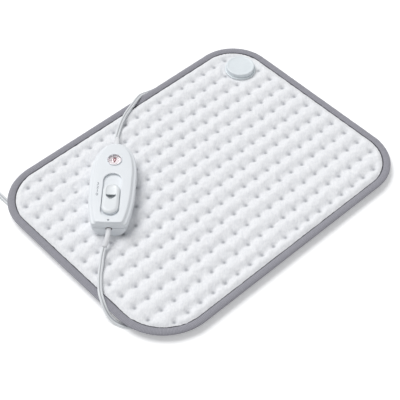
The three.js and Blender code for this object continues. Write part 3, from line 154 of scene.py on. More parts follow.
def cut(piece, cutter, operation="DIFFERENCE"):
    applied(piece, "BOOLEAN", operation=operation, object=cutter, solver="EXACT")
    bpy.data.objects.remove(cutter)
    return piece


def seat(piece, materialOf, body=fixedBody, replaces=()):
    piece.data.materials.clear()
    piece.data.materials.append(materialOf)
    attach(piece, body)
    if replaces:
        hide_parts(*replaces)
    return piece


# Smooth centripetal curve through points, sampled about every step millimetres
def curveThrough(points, step):
    pts = [Vector(p) for p in points]
    pts = [pts[0] * 2 - pts[1], *pts, pts[-1] * 2 - pts[-2]]
    made = []
    for a, b, c, d in zip(pts, pts[1:], pts[2:], pts[3:]):
        t0, t1, t2 = math.sqrt((b - a).length), math.sqrt((c - b).length), math.sqrt((d - c).length)
        m1 = ((b - a) / t0 - (c - a) / (t0 + t1) + (c - b) / t1) * t1
        m2 = ((c - b) / t1 - (d - b) / (t1 + t2) + (d - c) / t2) * t1
        n = max(1, round((c - b).length / step))
        for k in range(n):
            t = k / n
            ends = b * (2 * t ** 3 - 3 * t ** 2 + 1) + m1 * (t ** 3 - 2 * t ** 2 + t)
            made.append(ends + c * (3 * t ** 2 - 2 * t ** 3) + m2 * (t ** 3 - t ** 2))
    made.append(pts[-2])
    return made


# Node helpers; the tree that a node goes into is the one its input comes from

def newGroup(name, inputs, outputs):
    group = bpy.data.node_groups.new(name, "ShaderNodeTree")
    kinds = {"v": "NodeSocketVector", "f": "NodeSocketFloat", "c": "NodeSocketColor"}
    for label, kind, value in inputs:
        socket = group.interface.new_socket(name=label, in_out="INPUT", socket_type=kinds[kind])
        if value is not None:
            socket.default_value = value
    for label, kind in outputs:
        group.interface.new_socket(name=label, in_out="OUTPUT", socket_type=kinds[kind])
    given = group.nodes.new("NodeGroupInput").outputs
    return group, given, group.nodes.new("NodeGroupOutput").inputs


# Sets a socket to a number or a colour, or links it to another node's output
def feed(socket, value):
    if isinstance(value, bpy.types.NodeSocket):
        socket.id_data.links.new(value, socket)
    else:
        socket.default_value = value


def mathNode(operation, a, b=None, clamp=False):
    made = a.id_data.nodes.new("ShaderNodeMath")
    made.operation = operation
    made.use_clamp = clamp
    feed(made.inputs[0], a)
    if b is not None:
        feed(made.inputs[1], b)
    return made.outputs[0]


def plus(a, b, clamp=False):
    return mathNode("ADD", a, b, clamp)


def minus(a, b, clamp=False):
    return mathNode("SUBTRACT", a, b, clamp)


def times(a, b, clamp=False):
    return mathNode("MULTIPLY", a, b, clamp)


def mixColour(factor, a, b):
    made = factor.id_data.nodes.new("ShaderNodeMix")
    made.data_type = "RGBA"
    for socket, value in ((made.inputs[0], factor), (made.inputs[6], a), (made.inputs[7], b)):
        feed(socket, value)
    return made.outputs[2]


def noiseNode(vector, scale, detail=3, rough=0.5):
    made = vector.id_data.nodes.new("ShaderNodeTexNoise")
    for label, value in (("Detail", detail), ("Roughness", rough), ("Vector", vector), ("Scale", scale)):
        feed(made.inputs[label], value)
    return made.outputs["Fac"]


def separated(vector):
    made = vector.id_data.nodes.new("ShaderNodeSeparateXYZ")
    feed(made.inputs[0], vector)
    return made.outputs


# 1 for what the camera sees straight, in a gloss or through the clear dome
def seenRays(tree):
    rays = tree.nodes.new("ShaderNodeLightPath").outputs
    either = mathNode("MAXIMUM", rays["Is Camera Ray"], rays["Is Glossy Ray"])
    return mathNode("MAXIMUM", either, rays["Is Transmission Ray"])


# Camera, floor and light

view = {
    "place": (-600.28, -633.0, 1014.1),
    "right": (0.73126, -0.68208, 0.0056),
    "up": (0.52077, 0.56361, 0.64120),
    "back": (-0.44052, -0.46595, 0.76735),
    "lens": 101.91,
    "sensor": 36,
    "clip": (0.05, 30),
}
cameraData = bpy.data.cameras.new("studioCamera")
cameraData.lens = view["lens"]
cameraData.sensor_width = view["sensor"]
cameraData.clip_start, cameraData.clip_end = view["clip"]
camera = bpy.data.objects.new("studioCamera", cameraData)
bpy.context.scene.collection.objects.link(camera)
turn = Matrix([view["right"], view["up"], view["back"]]).transposed().to_4x4()
camera.matrix_world = Matrix.Translation(Vector(view["place"]) * mm) @ turn
bpy.context.scene.camera = camera
bpy.context.scene.view_settings.view_transform = "Standard"

light = {
    "sunStrength": 2.02,
    "sunSpread": 38,
    "sunAzimuth": 98,
    "sunHeight": 60,
    "skyColour": (0.98, 0.99, 1, 1),
    "skyStrength": 0.44,
    "floorSize": 6,
    "floorColour": (0.93, 0.935, 0.94, 1),
    "floorLift": 0.25,
}
white = (1, 1, 1, 1)
azimuth, height = math.radians(light["sunAzimuth"]), math.radians(light["sunHeight"])
towardsSun = Vector((math.cos(azimuth) * math.cos(height), math.sin(azimuth) * math.cos(height), math.sin(height)))
sunData = bpy.data.lights.new("softSun", "SUN")
sunData.energy = light["sunStrength"]
sunData.angle = math.radians(light["sunSpread"])
sun = bpy.data.objects.new("softSun", sunData)
bpy.context.scene.collection.objects.link(sun)
sun.rotation_euler = towardsSun.to_track_quat("Z", "Y").to_euler()

world = bpy.data.worlds.new("paleRoom")
bpy.context.scene.world = world
world.use_nodes = True
sky = world.node_tree
sky.nodes.clear()
skyMix = sky.nodes.new("ShaderNodeMixShader")
feed(skyMix.inputs["Fac"], seenRays(sky))
for socket, colour, strength in ((1, light["skyColour"], light["skyStrength"]), (2, white, 1)):
    glow = sky.nodes.new("ShaderNodeBackground")
    feed(glow.inputs["Color"], colour)
    feed(glow.inputs["Strength"], strength)
    feed(skyMix.inputs[socket], glow.outputs[0])
feed(sky.nodes.new("ShaderNodeOutputWorld").inputs["Surface"], skyMix.outputs[0])

clearSelection()
bpy.ops.mesh.primitive_plane_add(size=light["floorSize"], location=(0, 0, 0))
floor = bpy.context.object
floor.name = "paleFloor"
floorLook = bpy.data.materials.new("paleFloor")
floorLook.use_nodes = True
tree = floorLook.node_tree
tree.nodes.clear()
floorSkin = tree.nodes.new("ShaderNodeBsdfDiffuse")
feed(floorSkin.inputs["Color"], light["floorColour"])
floorGlow = tree.nodes.new("ShaderNodeEmission")
feed(floorGlow.inputs["Strength"], times(seenRays(tree), light["floorLift"]))
floorSum = tree.nodes.new("ShaderNodeAddShader")
feed(floorSum.inputs[0], floorSkin.outputs[0])
feed(floorSum.inputs[1], floorGlow.outputs[0])
feed(tree.nodes.new("ShaderNodeOutputMaterial").inputs["Surface"], floorSum.outputs[0])
floor.data.materials.append(floorLook)
print("camera, floor and light ready")


# Shared surface effects

# Moulded plastic: a fine spark-eroded grain, a broad faint tone change and a few scuffs
mouldedSkin, given, put = newGroup("mouldedSkin", [
    ("Vector", "v", None), ("Grain Scale", "f", 900.0),
    ("Colour", "c", (0.8, 0.8, 0.8, 1)), ("Shade", "c", (0.7, 0.7, 0.7, 1)),
    ("Roughness", "f", 0.4), ("Roughness Spread", "f", 0.15),
], [("Colour", "c"), ("Roughness", "f"), ("Height", "f")])
grain = noiseNode(given["Vector"], given["Grain Scale"], 2, 0.6)
broad = noiseNode(given["Vector"], 38, 3, 0.55)
scuff = noiseNode(given["Vector"], 160, 5, 0.7)
tone = times(minus(broad, 0.35, True), 1.6, True)
feed(put["Colour"], mixColour(tone, given["Colour"], given["Shade"]))
spread = times(minus(scuff, 0.5), given["Roughness Spread"])
feed(put["Roughness"], plus(given["Roughness"], spread, True))
feed(put["Height"], plus(grain, times(scuff, 0.4)))

# Brushed pile: matted curls in clumps, with short fibres over them, all combed one way; where Pinch is high the colour
# turns to painted shade
fleecePile, given, put = newGroup("fleecePile", [
    ("Vector", "v", None), ("Clump Scale", "f", 160.0),
    ("Colour", "c", (0.9, 0.9, 0.9, 1)), ("Shade", "c", (0.7, 0.7, 0.75, 1)),
    ("Pinch", "f", 0.0), ("Pinch Colour", "c", (0.5, 0.5, 0.52, 1)),
], [("Colour", "c"), ("Height", "f")])
clump = noiseNode(given["Vector"], given["Clump Scale"], 4, 0.6)
combed = fleecePile.nodes.new("ShaderNodeMapping")
combed.vector_type = "TEXTURE"
combed.inputs["Rotation"].default_value = (0, 0, math.radians(47))
combed.inputs["Scale"].default_value = (4, 1, 1)
feed(combed.inputs["Vector"], given["Vector"])
fibre = noiseNode(combed.outputs[0], 620, 3, 0.6)
curls = fleecePile.nodes.new("ShaderNodeTexVoronoi")
feed(curls.inputs["Scale"], 420)
feed(curls.inputs["Vector"], given["Vector"])
strands = plus(times(clump, 0.45), times(fibre, 0.55))
matted = times(minus(strands, 0.38, True), 3.2, True)
pileTone = mixColour(matted, given["Shade"], given["Colour"])
feed(put["Colour"], mixColour(given["Pinch"], pileTone, given["Pinch Colour"]))
feed(put["Height"], plus(times(clump, 1.4), plus(times(fibre, 0.5), times(curls.outputs["Distance"], -0.5))))

# Woven tape: ribs across the tape and a finer thread along it, from a UV map in millimetres; the low parts between the
# ribs get painted shade, varied at random by a noise
ribbedWeave, given, put = newGroup("ribbedWeave", [
    ("UV", "v", None), ("Rib Pitch", "f", 1.3), ("Thread Pitch", "f", 0.55),
    ("Colour", "c", (0.4, 0.4, 0.4, 1)), ("Gap Colour", "c", (0.2, 0.2, 0.2, 1)),
], [("Colour", "c"), ("Height", "f")])


def ridges(distance, pitch):
    return mathNode("SINE", mathNode("DIVIDE", times(distance, 2 * math.pi), pitch))


parts = separated(given["UV"])
wander = noiseNode(given["UV"], 0.35, 2, 0.5)
rib = ridges(plus(parts["X"], times(wander, 1.6)), given["Rib Pitch"])
thread = ridges(parts["Y"], given["Thread Pitch"])
raised = plus(plus(times(rib, 0.5), times(thread, 0.2)), 0.6, True)
uneven = noiseNode(given["UV"], 0.9, 4, 0.65)
ribShade = times(raised, plus(times(uneven, 0.9), 0.45), True)
feed(put["Colour"], mixColour(ribShade, given["Gap Colour"], given["Colour"]))
feed(put["Height"], raised)


def newLook(name, roughness=0.5, **plain):
    look = bpy.data.materials.new(name)
    look.use_nodes = True
    shader = look.node_tree.nodes["Principled BSDF"].inputs
    shader["Roughness"].default_value = roughness
    for label, value in plain.items():
        shader[label.replace("_", " ")].default_value = value
    return look, look.node_tree, shader


def placeGroup(tree, group, coordinates, **values):
    made = tree.nodes.new("ShaderNodeGroup")
    made.node_tree = group
    feed(made.inputs[0], tree.nodes.new("ShaderNodeTexCoord").outputs[coordinates])
    for label, value in values.items():
        feed(made.inputs[label.replace("_", " ")], value)
    return made.outputs


def placeSkin(tree, colour, shade, roughness, spread, grainScale):
    return placeGroup(tree, mouldedSkin, "Object", Grain_Scale=grainScale, Colour=(*colour, 1), Shade=(*shade, 1),
        Roughness=roughness, Roughness_Spread=spread)


def marked(tree, name):
    made = tree.nodes.new("ShaderNodeAttribute")
    made.attribute_name = name
    return made.outputs["Fac"]


def bumpTo(shader, height, strength, distance):
    bump = height.id_data.nodes.new("ShaderNodeBump")
    feed(bump.inputs["Strength"], strength)
    feed(bump.inputs["Distance"], distance * mm)
    feed(bump.inputs["Height"], height)
    feed(shader["Normal"], bump.outputs["Normal"])


def plasticLook(name, colour, shade, roughness, spread=0.12, grainScale=900, bump=0.12, grainDepth=0.4, **plain):
    look, tree, shader = newLook(name, roughness, **plain)
    skin = placeSkin(tree, colour, shade, roughness, spread, grainScale)
    feed(shader["Base Color"], skin["Colour"])
    feed(shader["Roughness"], skin["Roughness"])
    bumpTo(shader, skin["Height"], bump, grainDepth)
    return look


def metalLook(name, colour, roughness):
    return plasticLook(name, colour, [c * 0.8 for c in colour], roughness, 0.25, 700, 0.06, 0.3, Metallic=1.0)


shellLook = plasticLook("shellPlastic", (0.79, 0.82, 0.85), (0.76, 0.79, 0.825), 0.38, Coat_Weight=0.15, Coat_Roughness=0.3)
knobLook = plasticLook("knobPlastic", (0.79, 0.82, 0.84), (0.75, 0.78, 0.81), 0.3, Coat_Weight=0.25, Coat_Roughness=0.2)
discLook = plasticLook("discPlastic", (0.76, 0.81, 0.84), (0.72, 0.775, 0.81), 0.34, Coat_Weight=0.1, Coat_Roughness=0.3)
innerLeadLook = plasticLook("innerLead", (0.76, 0.78, 0.80), (0.71, 0.73, 0.76), 0.42, grainScale=500, bump=0.08)
reliefLook = plasticLook("reliefRubber", (0.74, 0.75, 0.77), (0.68, 0.69, 0.72), 0.5, bump=0.1)

plugLook = plasticLook("plugBodyPlastic", (0.80, 0.81, 0.82), (0.75, 0.76, 0.78), 0.4)
# Black of the cord clamps; the same look paints the shade in the gaps round the strain reliefs
clampBlackAndGapShade = plasticLook("cordClampAndGapShade", (0.045, 0.03, 0.035), (0.03, 0.02, 0.025), 0.55)
maskLook = plasticLook("windowMask", (0.82, 0.76, 0.78), (0.79, 0.72, 0.745), 0.5)
boardLook = plasticLook("circuitBoard", (0.03, 0.16, 0.07), (0.05, 0.22, 0.1), 0.45, grainScale=600)
componentLook = plasticLook("componentCase", (0.06, 0.06, 0.065), (0.1, 0.1, 0.1), 0.45)
resistorLook = plasticLook("resistorLacquer", (0.55, 0.45, 0.3), (0.45, 0.36, 0.24), 0.4)
lampLook = plasticLook("indicatorLamp", (0.7, 0.05, 0.03), (0.5, 0.03, 0.02), 0.25)
inkLook = plasticLook("greyPrint", (0.28, 0.3, 0.33), (0.22, 0.24, 0.27), 0.5)
digitLook = plasticLook("digitRed", (0.2, 0.012, 0.03), (0.16, 0.01, 0.022), 0.5)
tieLook = plasticLook("tieStrap", (0.78, 0.79, 0.8), (0.7, 0.71, 0.73), 0.5)
steelLook = metalLook("screwSteel", (0.6, 0.61, 0.62), 0.32)
brassLook = metalLook("pinBrass", (0.72, 0.62, 0.38), 0.25)
wireLook = metalLook("heaterWire", (0.5, 0.33, 0.25), 0.45)
fuseLook = metalLook("fuseCaps", (0.7, 0.7, 0.68), 0.3)

cordShape = {"width": 5.4, "thickness": 3.2, "step": 2.2, "lobeSteps": 10, "grooveShadeColour": (0.24, 0.25, 0.27, 1)}

# Jacket of the leads, with painted shade in the groove between the two cores; its UV counts the points round the
# section
cordLook, tree, shader = newLook("cordJacket", 0.42)
skin = placeSkin(tree, (0.76, 0.78, 0.80), (0.71, 0.73, 0.76), 0.42, 0.12, 500)
around = separated(tree.nodes.new("ShaderNodeTexCoord").outputs["UV"])["Y"]
wave = mathNode("COSINE", times(around, 2 * math.pi / cordShape["lobeSteps"]))
grooveShade = mathNode("POWER", plus(times(wave, 0.5), 0.5, True), 7.0)
feed(shader["Base Color"], mixColour(times(grooveShade, 0.8), skin["Colour"], cordShape["grooveShadeColour"]))
feed(shader["Roughness"], skin["Roughness"])
bumpTo(shader, skin["Height"], 0.08, 0.4)

# Fleece of the cover; the pinch attribute is high where a tuft is stitched down, and there the fleece gets painted
# shade
fleeceLook, tree, shader = newLook("quiltFleece", 0.95, Sheen_Weight=0.35, Sheen_Roughness=0.55, Specular_IOR_Level=0.15)
pile = placeGroup(tree, fleecePile, "Object", Clump_Scale=260.0, Colour=(0.94, 0.945, 0.96, 1), Shade=(0.80, 0.81, 0.84, 1),
    Pinch=marked(tree, "pinch"), Pinch_Colour=(0.39, 0.4, 0.43, 1))
feed(shader["Base Color"], pile["Colour"])
bumpTo(shader, pile["Height"], 0.5, 0.9)

# Grey woven tape of the edge, with painted shade along its seam with the fleece
tapeLook, tree, shader = newLook("edgeTape", 0.85, Sheen_Weight=0.2, Sheen_Roughness=0.5, Specular_IOR_Level=0.2)
weave = placeGroup(tree, ribbedWeave, "UV", Rib_Pitch=1.5, Thread_Pitch=0.7, Colour=(0.42, 0.415, 0.46, 1),
    Gap_Colour=(0.23, 0.23, 0.265, 1))
feed(shader["Base Color"], mixColour(marked(tree, "seamShade"), weave["Colour"], (0.045, 0.045, 0.055, 1)))
bumpTo(shader, weave["Height"], 0.6, 0.5)

# Plain cloth of the back, and the felt inside
backLook, tree, shader = newLook("backCloth", 0.9, Sheen_Weight=0.25, Sheen_Roughness=0.5, Specular_IOR_Level=0.15)
weave = placeGroup(tree, ribbedWeave, "UV", Rib_Pitch=1.1, Thread_Pitch=1.1, Colour=(0.80, 0.80, 0.82, 1),
    Gap_Colour=(0.66, 0.66, 0.69, 1))
feed(shader["Base Color"], weave["Colour"])
bumpTo(shader, weave["Height"], 0.35, 0.4)

feltLook, tree, shader = newLook("carrierFelt", 0.95, Sheen_Weight=0.3)
pile = placeGroup(tree, fleecePile, "Object", Clump_Scale=220.0, Colour=(0.82, 0.8, 0.74, 1), Shade=(0.7, 0.68, 0.62, 1))
feed(shader["Base Color"], pile["Colour"])
bumpTo(shader, pile["Height"], 0.4, 0.5)

# Clear dome of the window
lensLook, tree, shader = newLook("lensClear", 0.03, IOR=1.06, Transmission_Weight=1.0, Alpha=0.12, Coat_Weight=0.6,
    Coat_Roughness=0.05)
skin = placeSkin(tree, (0.99, 0.97, 0.975), (0.97, 0.94, 0.945), 0.03, 0.03, 300)
feed(shader["Base Color"], skin["Colour"])
feed(shader["Roughness"], skin["Roughness"])

# Number strip: pale pink film, with a faint painted glow standing in for the light that the dome keeps from it
stripLook, tree, shader = newLook("stripFilm", 0.5, Emission_Strength=0.12)
skin = placeSkin(tree, (0.84, 0.76, 0.78), (0.81, 0.71, 0.74), 0.5, 0.1, 600)
feed(shader["Base Color"], skin["Colour"])
feed(shader["Emission Color"], skin["Colour"])
print("materials ready")


# Controller places: s runs along it, t across it, z up from where it rests

grip = {
    "place": (-69.7, 73.2, 10.8),
    "turn": math.radians(45.5),
    "tail": -93.5,
    "noseStart": -24,
    "noseReach": 53.5,
    "noseRound": 0.87,
    "halfWidth": 26.8,
    "tailBend": 3,
    "tailHalfWidth": 19.4,
    "tailCorner": 3.5,
    "tailBow": 0.5,
    "height": 24,
    "leadHeight": 13.2,
    # height and inset, in millimetres, up the lower shell and then up the upper one
    "lowerProfile": [(0, 12.05), (0.25, 10.7), (0.8, 9.0), (1.5, 7.4), (2.4, 6.0), (3.6, 4.5), (5.0, 3.2), (6.9, 2.0),
        (9.0, 1.0), (11, 0.45), (12.9, 0.15), (13.7, 0.05), (13.95, 0.3)],
    "upperProfile": [(14.35, 0.3), (14.6, 0.0), (17, 0.04), (19, 0.16), (19.8, 0.42), (20.35, 0.95), (20.72, 1.7), (21.0, 2.55),
        (21.2, 3.05), (21.6, 3.42), (22.5, 4.15), (23.3, 4.82), (23.75, 5.25), (23.95, 5.7), (24, 6.3)],
    "tailShare": 0.25,
    "wall": 1.6,
    "crease": 38,
}


def toPad(s, t, z):
    c, d = math.cos(grip["turn"]), math.sin(grip["turn"])
    x, y, up = grip["place"]
    return (x + s * c - t * d, y + s * d + t * c, z + up)


def halfWidthAt(s):
    behind = max(0.0, (grip["noseStart"] - s) / (grip["noseStart"] - grip["tail"]))
    return grip["halfWidth"] - (grip["halfWidth"] - grip["tailHalfWidth"]) * behind ** grip["tailBend"]


outlineSteps = {"nose": 44, "side": 22, "corner": 6, "tail": 10}


def gripOutline(z, inset, tailInset=0.0):
    made = []
    for k in range(outlineSteps["nose"] + 1):
        a = math.pi * (k / outlineSteps["nose"] - 0.5)
        along = abs(math.cos(a)) ** grip["noseRound"]
        across = math.copysign(abs(math.sin(a)) ** grip["noseRound"], math.sin(a))
        made.append((grip["noseStart"] + (grip["noseReach"] - inset) * along, (grip["halfWidth"] - inset) * across))
    end = grip["tail"] + tailInset
    corner = grip["tailCorner"]
    turnAt = end + corner
    side = []
    for k in range(1, outlineSteps["side"] + 1):
        s = grip["noseStart"] + (turnAt - grip["noseStart"]) * k / outlineSteps["side"]
        side.append((s, halfWidthAt(s) - inset))
    centre = halfWidthAt(turnAt) - inset - corner
    for k in range(1, outlineSteps["corner"] + 1):
        a = math.radians(90 + 90 * k / outlineSteps["corner"])
        side.append((turnAt + corner * math.cos(a), centre + corner * math.sin(a)))
    tail = [(end, centre * (1 - 2 * k / outlineSteps["tail"])) for k in range(1, outlineSteps["tail"])]
    around = made + side + tail + [(s, -t) for s, t in reversed(side)]
    bow = grip["tailBow"]
    return [toPad(s + (bow * (t / grip["tailHalfWidth"]) ** 2 if s < turnAt else 0), t, z) for s, t in around]


# A pill with as many points as the outline, matched to its nose, sides and tail
def gripPill(z, tail, nose, width, grow=0.0):
    radius = width / 2
    made = []
    for k in range(outlineSteps["nose"] + 1):
        a = math.pi * (k / outlineSteps["nose"] - 0.5)
        made.append((nose - radius + (radius + grow) * math.cos(a), (radius + grow) * math.sin(a)))
    side = outlineSteps["side"]
    for k in range(1, side + 1):
        made.append((nose - radius + (tail + radius - nose + radius) * k / side, radius + grow))
    arc = outlineSteps["corner"] * 2 + outlineSteps["tail"]
    for k in range(1, arc):
        a = math.pi * (0.5 + k / arc)
        made.append((tail + radius + (radius + grow) * math.cos(a), (radius + grow) * math.sin(a)))
    for k in range(side, 0, -1):
        made.append((nose - radius + (tail + radius - nose + radius) * k / side, -radius - grow))
    return [toPad(s, t, z) for s, t in made]


# Cords

def twinSection(width, thickness, steps):
    r = thickness / 2
    centre = width / 2 - r
    edge = math.acos(-centre / r)
    right = [(centre + r * math.cos(a), r * math.sin(a)) for a in (edge - 2 * edge * k / steps for k in range(steps + 1))]
    left = [(-x, z) for x, z in reversed(right)]
    return right[:-1] + left[:-1]


# Sweeps the section along a route, its width kept level; UV runs along the route and round the section, in millimetres
def sweptPiece(name, route, sections):
    count = len(sections[0])
    points, faces = [], []
    for i, p in enumerate(route):
        ahead = (route[min(i + 1, len(route) - 1)] - route[max(i - 1, 0)]).normalized()
        side = ahead.cross(Vector((0, 0, 1))).normalized()
        up = side.cross(ahead)
        points += [p + side * x + up * z for x, z in sections[i]]
    for i in range(len(route) - 1):
        for k in range(count):
            a, b = i * count + k, i * count + (k + 1) % count
            faces.append((a, a + count, b + count, b))
    faces.append(tuple(range(count)))
    faces.append(tuple(reversed(range((len(route) - 1) * count, len(route) * count))))
    piece = meshPiece(name, points, faces)
    uv = piece.data.uv_layers.new(name="UVMap")
    along = [0.0]
    for a, b in zip(route, route[1:]):
        along.append(along[-1] + (b - a).length)
    for polygon in piece.data.polygons[:-2]:
        row, k = divmod(polygon.index, count)
        corners = ((row, k), (row + 1, k), (row + 1, k + 1), (row, k + 1))
        for loop, (i, j) in zip(polygon.loop_indices, corners):
            uv.data[loop].uv = (along[i], j)
    startEdit(piece)
    endEdit()
    return piece


# Routes of the two leads out of the controller, the first from its nose and the second from its tail
padRoute = [(-35.36, 110.63, 17.67), (-32.3, 114.4, 15.35), (-26.2, 119.3, 14.6), (-18.9, 124.8, 14.4), (-10.9, 130.1, 14.4),
    (-2.3, 134.8, 14.4), (6.5, 138.8, 14.3), (15.8, 142.6, 13.6), (25.3, 146.5, 13.2), (34.8, 150.3, 11.8), (43.3, 152.7, 8),
    (51.3, 154.1, 4), (60.3, 153.9, 2), (70.3, 151.7, 1.7), (81.3, 148.5, 1.7), (93.3, 144.9, 1.7), (104.3, 140.9, 1.7),
    (114.3, 136.3, 1.7), (125.43, 129.57, 1.62), (129.74, 126.32, 1.7)]
mainsRoute = [(-152.61, -6.22, 17.67), (-156.7, -8.8, 15.5), (-162.4, -13.6, 14.9), (-170.3, -21.2, 14.6), (-179, -29.8, 14.6),
    (-187.1, -39, 14.6), (-193.9, -48.2, 14.4), (-198.7, -57.6, 13.3), (-202.2, -67.2, 9.8), (-202.9, -75.7, 5.2),
    (-200.9, -84.2, 2.3), (-196.8, -92.4, 1.7), (-190.3, -99.4, 1.7), (-181.4, -103.1, 1.7), (-171.9, -102.6, 1.7),
    (-163.4, -98.3, 1.7), (-157.6, -90.7, 1.7), (-155.6, -81.4, 1.7), (-156.9, -69.2, 1.7), (-161.2, -52.1, 1.7),
    (-167.4, -32.1, 1.7), (-173.6, -12.1, 1.7), (-179.2, 7.9, 1.7), (-183.4, 28.9, 1.7), (-185.4, 50.9, 1.7), (-185.7, 76.9, 1.7),
    (-185.7, 102.9, 1.7), (-185.7, 128.9, 1.8), (-185.7, 146.9, 2.2), (-185.7, 160.6, 2.6), (-185.7, 165.7, 2.6)]
coil = {"centre": (-226.1, 171.4), "radius": 40.4, "pitch": 5.9, "turnsDown": 3.5, "foot": 2.6, "layer": 3.7, "pointsPerTurn": 24,
    "toPlug": (-185.7, 176.8, 6.4)}


def coilRoute():
    made = []
    steps = round(coil["pointsPerTurn"] * coil["turnsDown"] * 2)
    for i in range(steps + 1):
        turns = i / steps * coil["turnsDown"] * 2
        radius = coil["radius"] - coil["pitch"] * (coil["turnsDown"] - abs(turns - coil["turnsDown"]))
        climb = min(1, max(0, (turns - coil["turnsDown"]) * 2 + 0.5))
        a = 2 * math.pi * turns
        x, y = coil["centre"]
        made.append((x + radius * math.cos(a), y + radius * math.sin(a), coil["foot"] + coil["layer"] * climb))
    return made


section = twinSection(cordShape["width"], cordShape["thickness"], cordShape["lobeSteps"])
padPath = curveThrough(padRoute, cordShape["step"])
padCord = sweptPiece("padCord", padPath, [section] * len(padPath))
seat(padCord, cordLook, replaces=["pad_lead"])

mainsPath = curveThrough(mainsRoute + coilRoute() + [coil["toPlug"]], cordShape["step"])
mainsCord = sweptPiece("mainsCord", mainsPath, [section] * len(mainsPath))
seat(mainsCord, cordLook, replaces=["mains_lead", "mains_coil"])
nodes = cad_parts
print("cords ready:", round(sum((b - a).length for a, b in zip(mainsPath, mainsPath[1:]))), "mm to the plug")


# Pad

pad = {
    "halfLength": 200.0,
    "halfWidth": 150.0,
    # radius of each corner, by the signs of x and y
    "corners": {(1, 1): 53.0, (-1, 1): 59.0, (-1, -1): 67.0, (1, -1): 56.0},
    "underside": 8.0,
    "edgeHeight": 9.2,
    "crest": 12.3,
    "valley": 2.25,
    "valleyRound": 0.16,
    "tuftHeight": 8.8,
    "firstColumn": -177.4,
    "firstRow": -128.3,
    "columns": 20,
    "rows": 13,
    "columnPitch": 355.3 / 19,
    "rowPitch": 254.4 / 12,
    "tuftFromEdge": 14.0,
    "coverInset": 3.0,
    "tapeWidth": 10.5,
    "borderRise": 9.0,
    "borderRound": 2.2,
    "underTape": 1.5,
    "tuftDrift": (0.45, 0.35),
    "tuftRound": 0.95,
    "rowFade": 11.0,
    "heldFrom": 10.0,
    "heldTo": 22.0,
    # height, size and place in the noise of the cover's loose folds
    "folds": ((0.16, 11, 2), (0.09, 4.5, 7)),
    "foldFrom": 9.0,
    "foldTo": 16.0,
    "underGrip": 0.15,
    "lowest": 8.45,
    "pinchSpread": 2.3,
    "dipSpread": 4.6,
    "dip": 1.3,
    # distances of the mesh's lines from a column and from a row of tufts
    "columnLines": (0, 0.7, 1.4, 2.2, 3.3, 4.9, 7.0),
    "rowLines": (0, 0.7, 1.4, 2.2, 3.3, 4.8, 6.7, 8.7),
    "openStep": 2.3,
    "openLines": 11,
    "leastGap": 0.5,
    "disc": (162.8, 101.4),
    "discFlat": 20.4,
    "discClear": 1.0,
    "discRise": 8.0,
    "discSeat": 9.25,
    "discHole": 17.4,
    "discReach": 6.0,
}


def cornerAt(x, y):
    return pad["corners"][(1 if x > 0 else -1, 1 if y > 0 else -1)]


def fromDisc(x, y):
    return math.hypot(x - pad["disc"][0], y - pad["disc"][1])


# Points around the pad, corner by corner, each followed by the straight side up to the next one
def roundedOutline(inset, step=3.0, cornerSteps=26):
    a, b = pad["halfLength"], pad["halfWidth"]
    made = []
    for sx, sy, start, run in ((1, 1, 0, (-1, 0)), (-1, 1, 90, (0, -1)), (-1, -1, 180, (1, 0)), (1, -1, 270, (0, 1))):
        r = cornerAt(sx, sy)
        cx, cy = sx * (a - r), sy * (b - r)
        for k in range(cornerSteps):
            angle = math.radians(start + 90 * k / cornerSteps)
            made.append((cx + (r - inset) * math.cos(angle), cy + (r - inset) * math.sin(angle)))
        nextCorner = cornerAt(-sx, sy) if run[0] else cornerAt(sx, -sy)
        straight = (2 * a if run[0] else 2 * b) - r - nextCorner
        n = round(straight / step)
        at = math.radians(start + 90)
        x0, y0 = cx + (r - inset) * math.cos(at), cy + (r - inset) * math.sin(at)
        for k in range(n):
            made.append((x0 + run[0] * straight * k / n, y0 + run[1] * straight * k / n))
    return made


# Distance in from the pad's outline
def insideBy(x, y):
    r = cornerAt(x, y)
    dx = abs(x) - (pad["halfLength"] - r)
    dy = abs(y) - (pad["halfWidth"] - r)
    if dx > 0 and dy > 0:
        return r - math.hypot(dx, dy)
    return min(pad["halfLength"] - abs(x), pad["halfWidth"] - abs(y))


def smoothStep(a, b, v):
    t = min(1, max(0, (v - a) / (b - a)))
    return t * t * (3 - 2 * t)


def tuftAt(i, j):
    x, y = pad["firstColumn"] + i * pad["columnPitch"], pad["firstRow"] + j * pad["rowPitch"]
    return insideBy(x, y) > pad["tuftFromEdge"] and fromDisc(x, y) > pad["discFlat"] + pad["discClear"]


def tuftDistance(x, y):
    i = min(pad["columns"] - 1, max(0, round((x - pad["firstColumn"]) / pad["columnPitch"])))
    j = min(pad["rows"] - 1, max(0, round((y - pad["firstRow"]) / pad["rowPitch"])))
    if not tuftAt(i, j):
        return farAway
    drift = random.Random(i * 31 + j * 7)
    driftX, driftY = pad["tuftDrift"]
    tx = pad["firstColumn"] + i * pad["columnPitch"] + drift.uniform(-driftX, driftX)
    ty = pad["firstRow"] + j * pad["rowPitch"] + drift.uniform(-driftY, driftY)
    return math.hypot((x - tx) * pad["tuftRound"], y - ty)


# The controller on the cover: how far it is looked for, and the depth given further off
press = {"pastTail": 8, "noseEnd": 40, "outside": -9}


# How deep the point lies inside the controller's outline
def gripPressed(x, y):
    c, d = math.cos(grip["turn"]), math.sin(grip["turn"])
    dx, dy = x - grip["place"][0], y - grip["place"][1]
    s, t = dx * c + dy * d, -dx * d + dy * c
    if s < grip["tail"] - press["pastTail"] or s > press["noseEnd"]:
        return press["outside"]
    if s > grip["noseStart"]:
        u, v = (s - grip["noseStart"]) / grip["noseReach"], abs(t) / grip["halfWidth"]
        power = 2 / grip["noseRound"]
        out = (u ** power + v ** power) ** (1 / power)
        reach = (grip["noseReach"] * u * u + grip["halfWidth"] * v * v) / max(1e-6, u * u + v * v)
        return (1 - out) * reach
    return min(halfWidthAt(s) - abs(t), s - grip["tail"])


